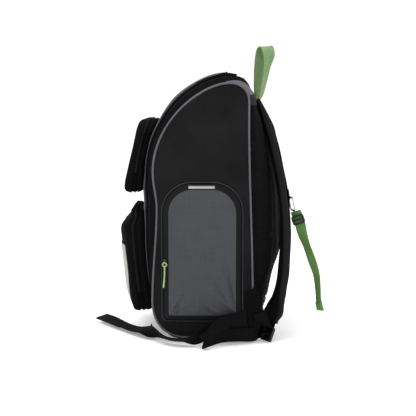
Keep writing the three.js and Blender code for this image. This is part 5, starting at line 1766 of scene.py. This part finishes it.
def add_hem(parts, stations, length, width):
    """The doubled end of a strip: the last stretch again, folded onto its face."""
    along = distance_along(stations.centre)
    first = int(np.searchsorted(along, along[-1] - length))
    fold = moved(part_of(stations, first, None), WEBBING["thick"] * 0.92)
    parts.sweep(fold, strip_section(width - 0.4, WEBBING["thick"]))
    return first


class BACKPACK_OT_webbing(bpy.types.Operator):
    """Lay the adjusters' loose webbing and sew on the haul loop"""

    bl_idname = "backpack.webbing"
    bl_label = "Loose webbing"

    haul_cup = 0.0042  # how much the loop's strip is cupped, by the square of the distance from its middle
    haul_tacks = (18, 21, 179, 182)  # stations where the loop's two feet are tacked

    def execute(self, context):
        self.add_adjuster("right", RIGHT_ADJUSTER_LINE, 420)
        self.add_adjuster("left", LEFT_ADJUSTER_LINE, 160)
        self.add_haul_loop()
        return {"FINISHED"}

    def add_adjuster(self, side, rows, count):
        stations = ribbon(rows, count, WEBBING["adjuster"])
        parts = MeshParts()
        parts.sweep(stations, strip_section(WEBBING["adjuster"], WEBBING["thick"]))
        first = add_hem(parts, stations, HEM_LENGTH["adjuster"], WEBBING["adjuster"])
        piece = parts.make(f"adjuster_webbing_{side}_strip", "black_webbing")
        settle(piece, "black_webbing", f"adjuster_webbing_{side}")
        stitches = MeshParts()
        for k in (first + 2, first + 4, len(stations.centre) - 4):
            for face in (-1, 1):
                add_tack(stitches, stations, k, WEBBING["adjuster"], face)
        settle(stitches.make(f"adjuster_tacks_{side}", "thread"), "black_webbing")

    def add_haul_loop(self):
        stations = ribbon(HAUL_LINE, 200, WEBBING["haul"])
        parts = MeshParts()
        cup = strip_section(WEBBING["haul"], WEBBING["thick"])
        cup[:, 1] += self.haul_cup * cup[:, 0] ** 2
        parts.sweep(stations, cup)
        settle(parts.make("haul_loop_strip", "green_webbing"), "green_webbing", "haul_loop")
        stitches = MeshParts()
        for k in self.haul_tacks:
            for face in (-1, 1):
                add_tack(stitches, stations, k, WEBBING["haul"], face)
        settle(stitches.make("haul_loop_tacks", "green_thread"), "green_webbing")


def add_tack(parts, stations, k, width, face):
    """A row of stitches across a strip at a station, on one of its faces."""
    share = np.linspace(-0.44, 0.44, 24)[:, None]
    fold = WEBBING["thick"] if face > 0 else 0
    centre = stations.centre[k] + stations.out[k] * face * (WEBBING["thick"] / 2 + fold)
    points = centre + stations.across[k] * share * width
    add_stitches(parts, points, stations.out[k] * face)


class BACKPACK_OT_chest_strap(bpy.types.Operator):
    """Hang the chest strap's near half from its steel ring"""

    bl_idname = "backpack.chest_strap"
    bl_label = "Chest strap"

    def execute(self, context):
        self.add_ring()
        keeper = MeshParts()
        keeper.sweep(ribbon(KEEPER_LINE, 30), strip_section(WEBBING["keeper"], WEBBING["thick"]))
        settle(keeper.make("sternum_keeper_strip", "black_webbing"), "black_webbing", "sternum_keeper")
        stations = ribbon(STERNUM_LINE, 240)
        parts = MeshParts()
        parts.sweep(stations, strip_section(WEBBING["sternum"], WEBBING["thick"]))
        first = add_hem(parts, stations, HEM_LENGTH["sternum"], WEBBING["sternum"])
        settle(parts.make("sternum_webbing_strip", "chest_webbing"), "green_webbing", "sternum_webbing")
        stitches = MeshParts()
        for face in (-1, 1):
            add_tack(stitches, stations, first + 3, WEBBING["sternum"], face)
        settle(stitches.make("sternum_tacks", "green_thread"), "green_webbing")
        self.add_slider(stations)
        return {"FINISHED"}

    def add_ring(self):
        size = STERNUM_RING
        loop = rounded_loop(size["half_width"], size["half_height"], size["corner"], 9)
        points = np.stack([loop[:, 0], 0 * loop[:, 0], loop[:, 1]], -1)
        stations = line_stations(points, BACKWARD, closed=True)
        parts = MeshParts()
        parts.sweep(stations, round_section(size["wire"], 12), loop=True)
        lean = Matrix.Rotation(math.radians(STERNUM_RING_TURN["lean"]), 4, "X")
        yaw = Matrix.Rotation(math.radians(STERNUM_RING_TURN["yaw"]), 4, "Z")
        parts.turn(Matrix.Translation(size["place"]) @ yaw @ lean)
        settle(parts.make("sternum_ring_wire", "steel"), "steel", "sternum_ring")

    def add_slider(self, stations):
        k = int(STERNUM_SLIDER["at"] * (len(stations.centre) - 1))
        across, face = stations.across[k], stations.out[k]
        face = face if face[0] > 0 else -face
        up = np.cross(across, face)
        away = (STERNUM_SLIDER["thick"] + WEBBING["thick"]) / 2 + STERNUM_SLIDER["seat"]
        place = stations.centre[k] + face * away
        matrix = Matrix.Identity(4)
        for column, values in enumerate((across, face, up, place)):
            for row in range(3):
                matrix[row][column] = values[row]
        parts = MeshParts()
        add_frame(parts, STERNUM_SLIDER)
        parts.turn(matrix)
        settle(parts.make("sternum_slider_moulding", "black_plastic"), "black_plastic", "sternum_slider")


# Panel and registration

class BACKPACK_PT_panel(bpy.types.Panel):
    """Sizes, colours and steps of the backpack"""

    bl_idname = "BACKPACK_PT_panel"
    bl_label = "Cycling backpack"
    bl_space_type = "VIEW_3D"
    bl_region_type = "UI"
    bl_category = "Backpack"

    def draw(self, context):
        for group in ("backpack_sizes", "backpack_colours", "backpack_studio"):
            settings = getattr(context.scene, group)
            box = self.layout.box()
            for name in settings.__annotations__:
                box.prop(settings, name)
        for step in STEPS:
            self.layout.operator(step.bl_idname)


STEPS = (
    BACKPACK_OT_stage,
    BACKPACK_OT_body,
    BACKPACK_OT_piping,
    BACKPACK_OT_back_pad,
    BACKPACK_OT_side_pockets,
    BACKPACK_OT_front_pockets,
    BACKPACK_OT_shoulder_straps,
    BACKPACK_OT_webbing,
    BACKPACK_OT_chest_strap,
)
CLASSES = (BackpackColours, BackpackSizes, BackpackStudio, *STEPS, BACKPACK_PT_panel)
SETTINGS = {
    "backpack_colours": BackpackColours,
    "backpack_sizes": BackpackSizes,
    "backpack_studio": BackpackStudio,
}


def register():
    for cls in CLASSES:
        bpy.utils.register_class(cls)
    for name, group in SETTINGS.items():
        setattr(bpy.types.Scene, name, bpy.props.PointerProperty(type=group))


def unregister():
    for name in SETTINGS:
        delattr(bpy.types.Scene, name)
    for cls in reversed(CLASSES):
        bpy.utils.unregister_class(cls)


def main():
    register()
    for step in STEPS:
        group, name = step.bl_idname.split(".")
        getattr(getattr(bpy.ops, group), name)()


if __name__ == "__main__":
    main()
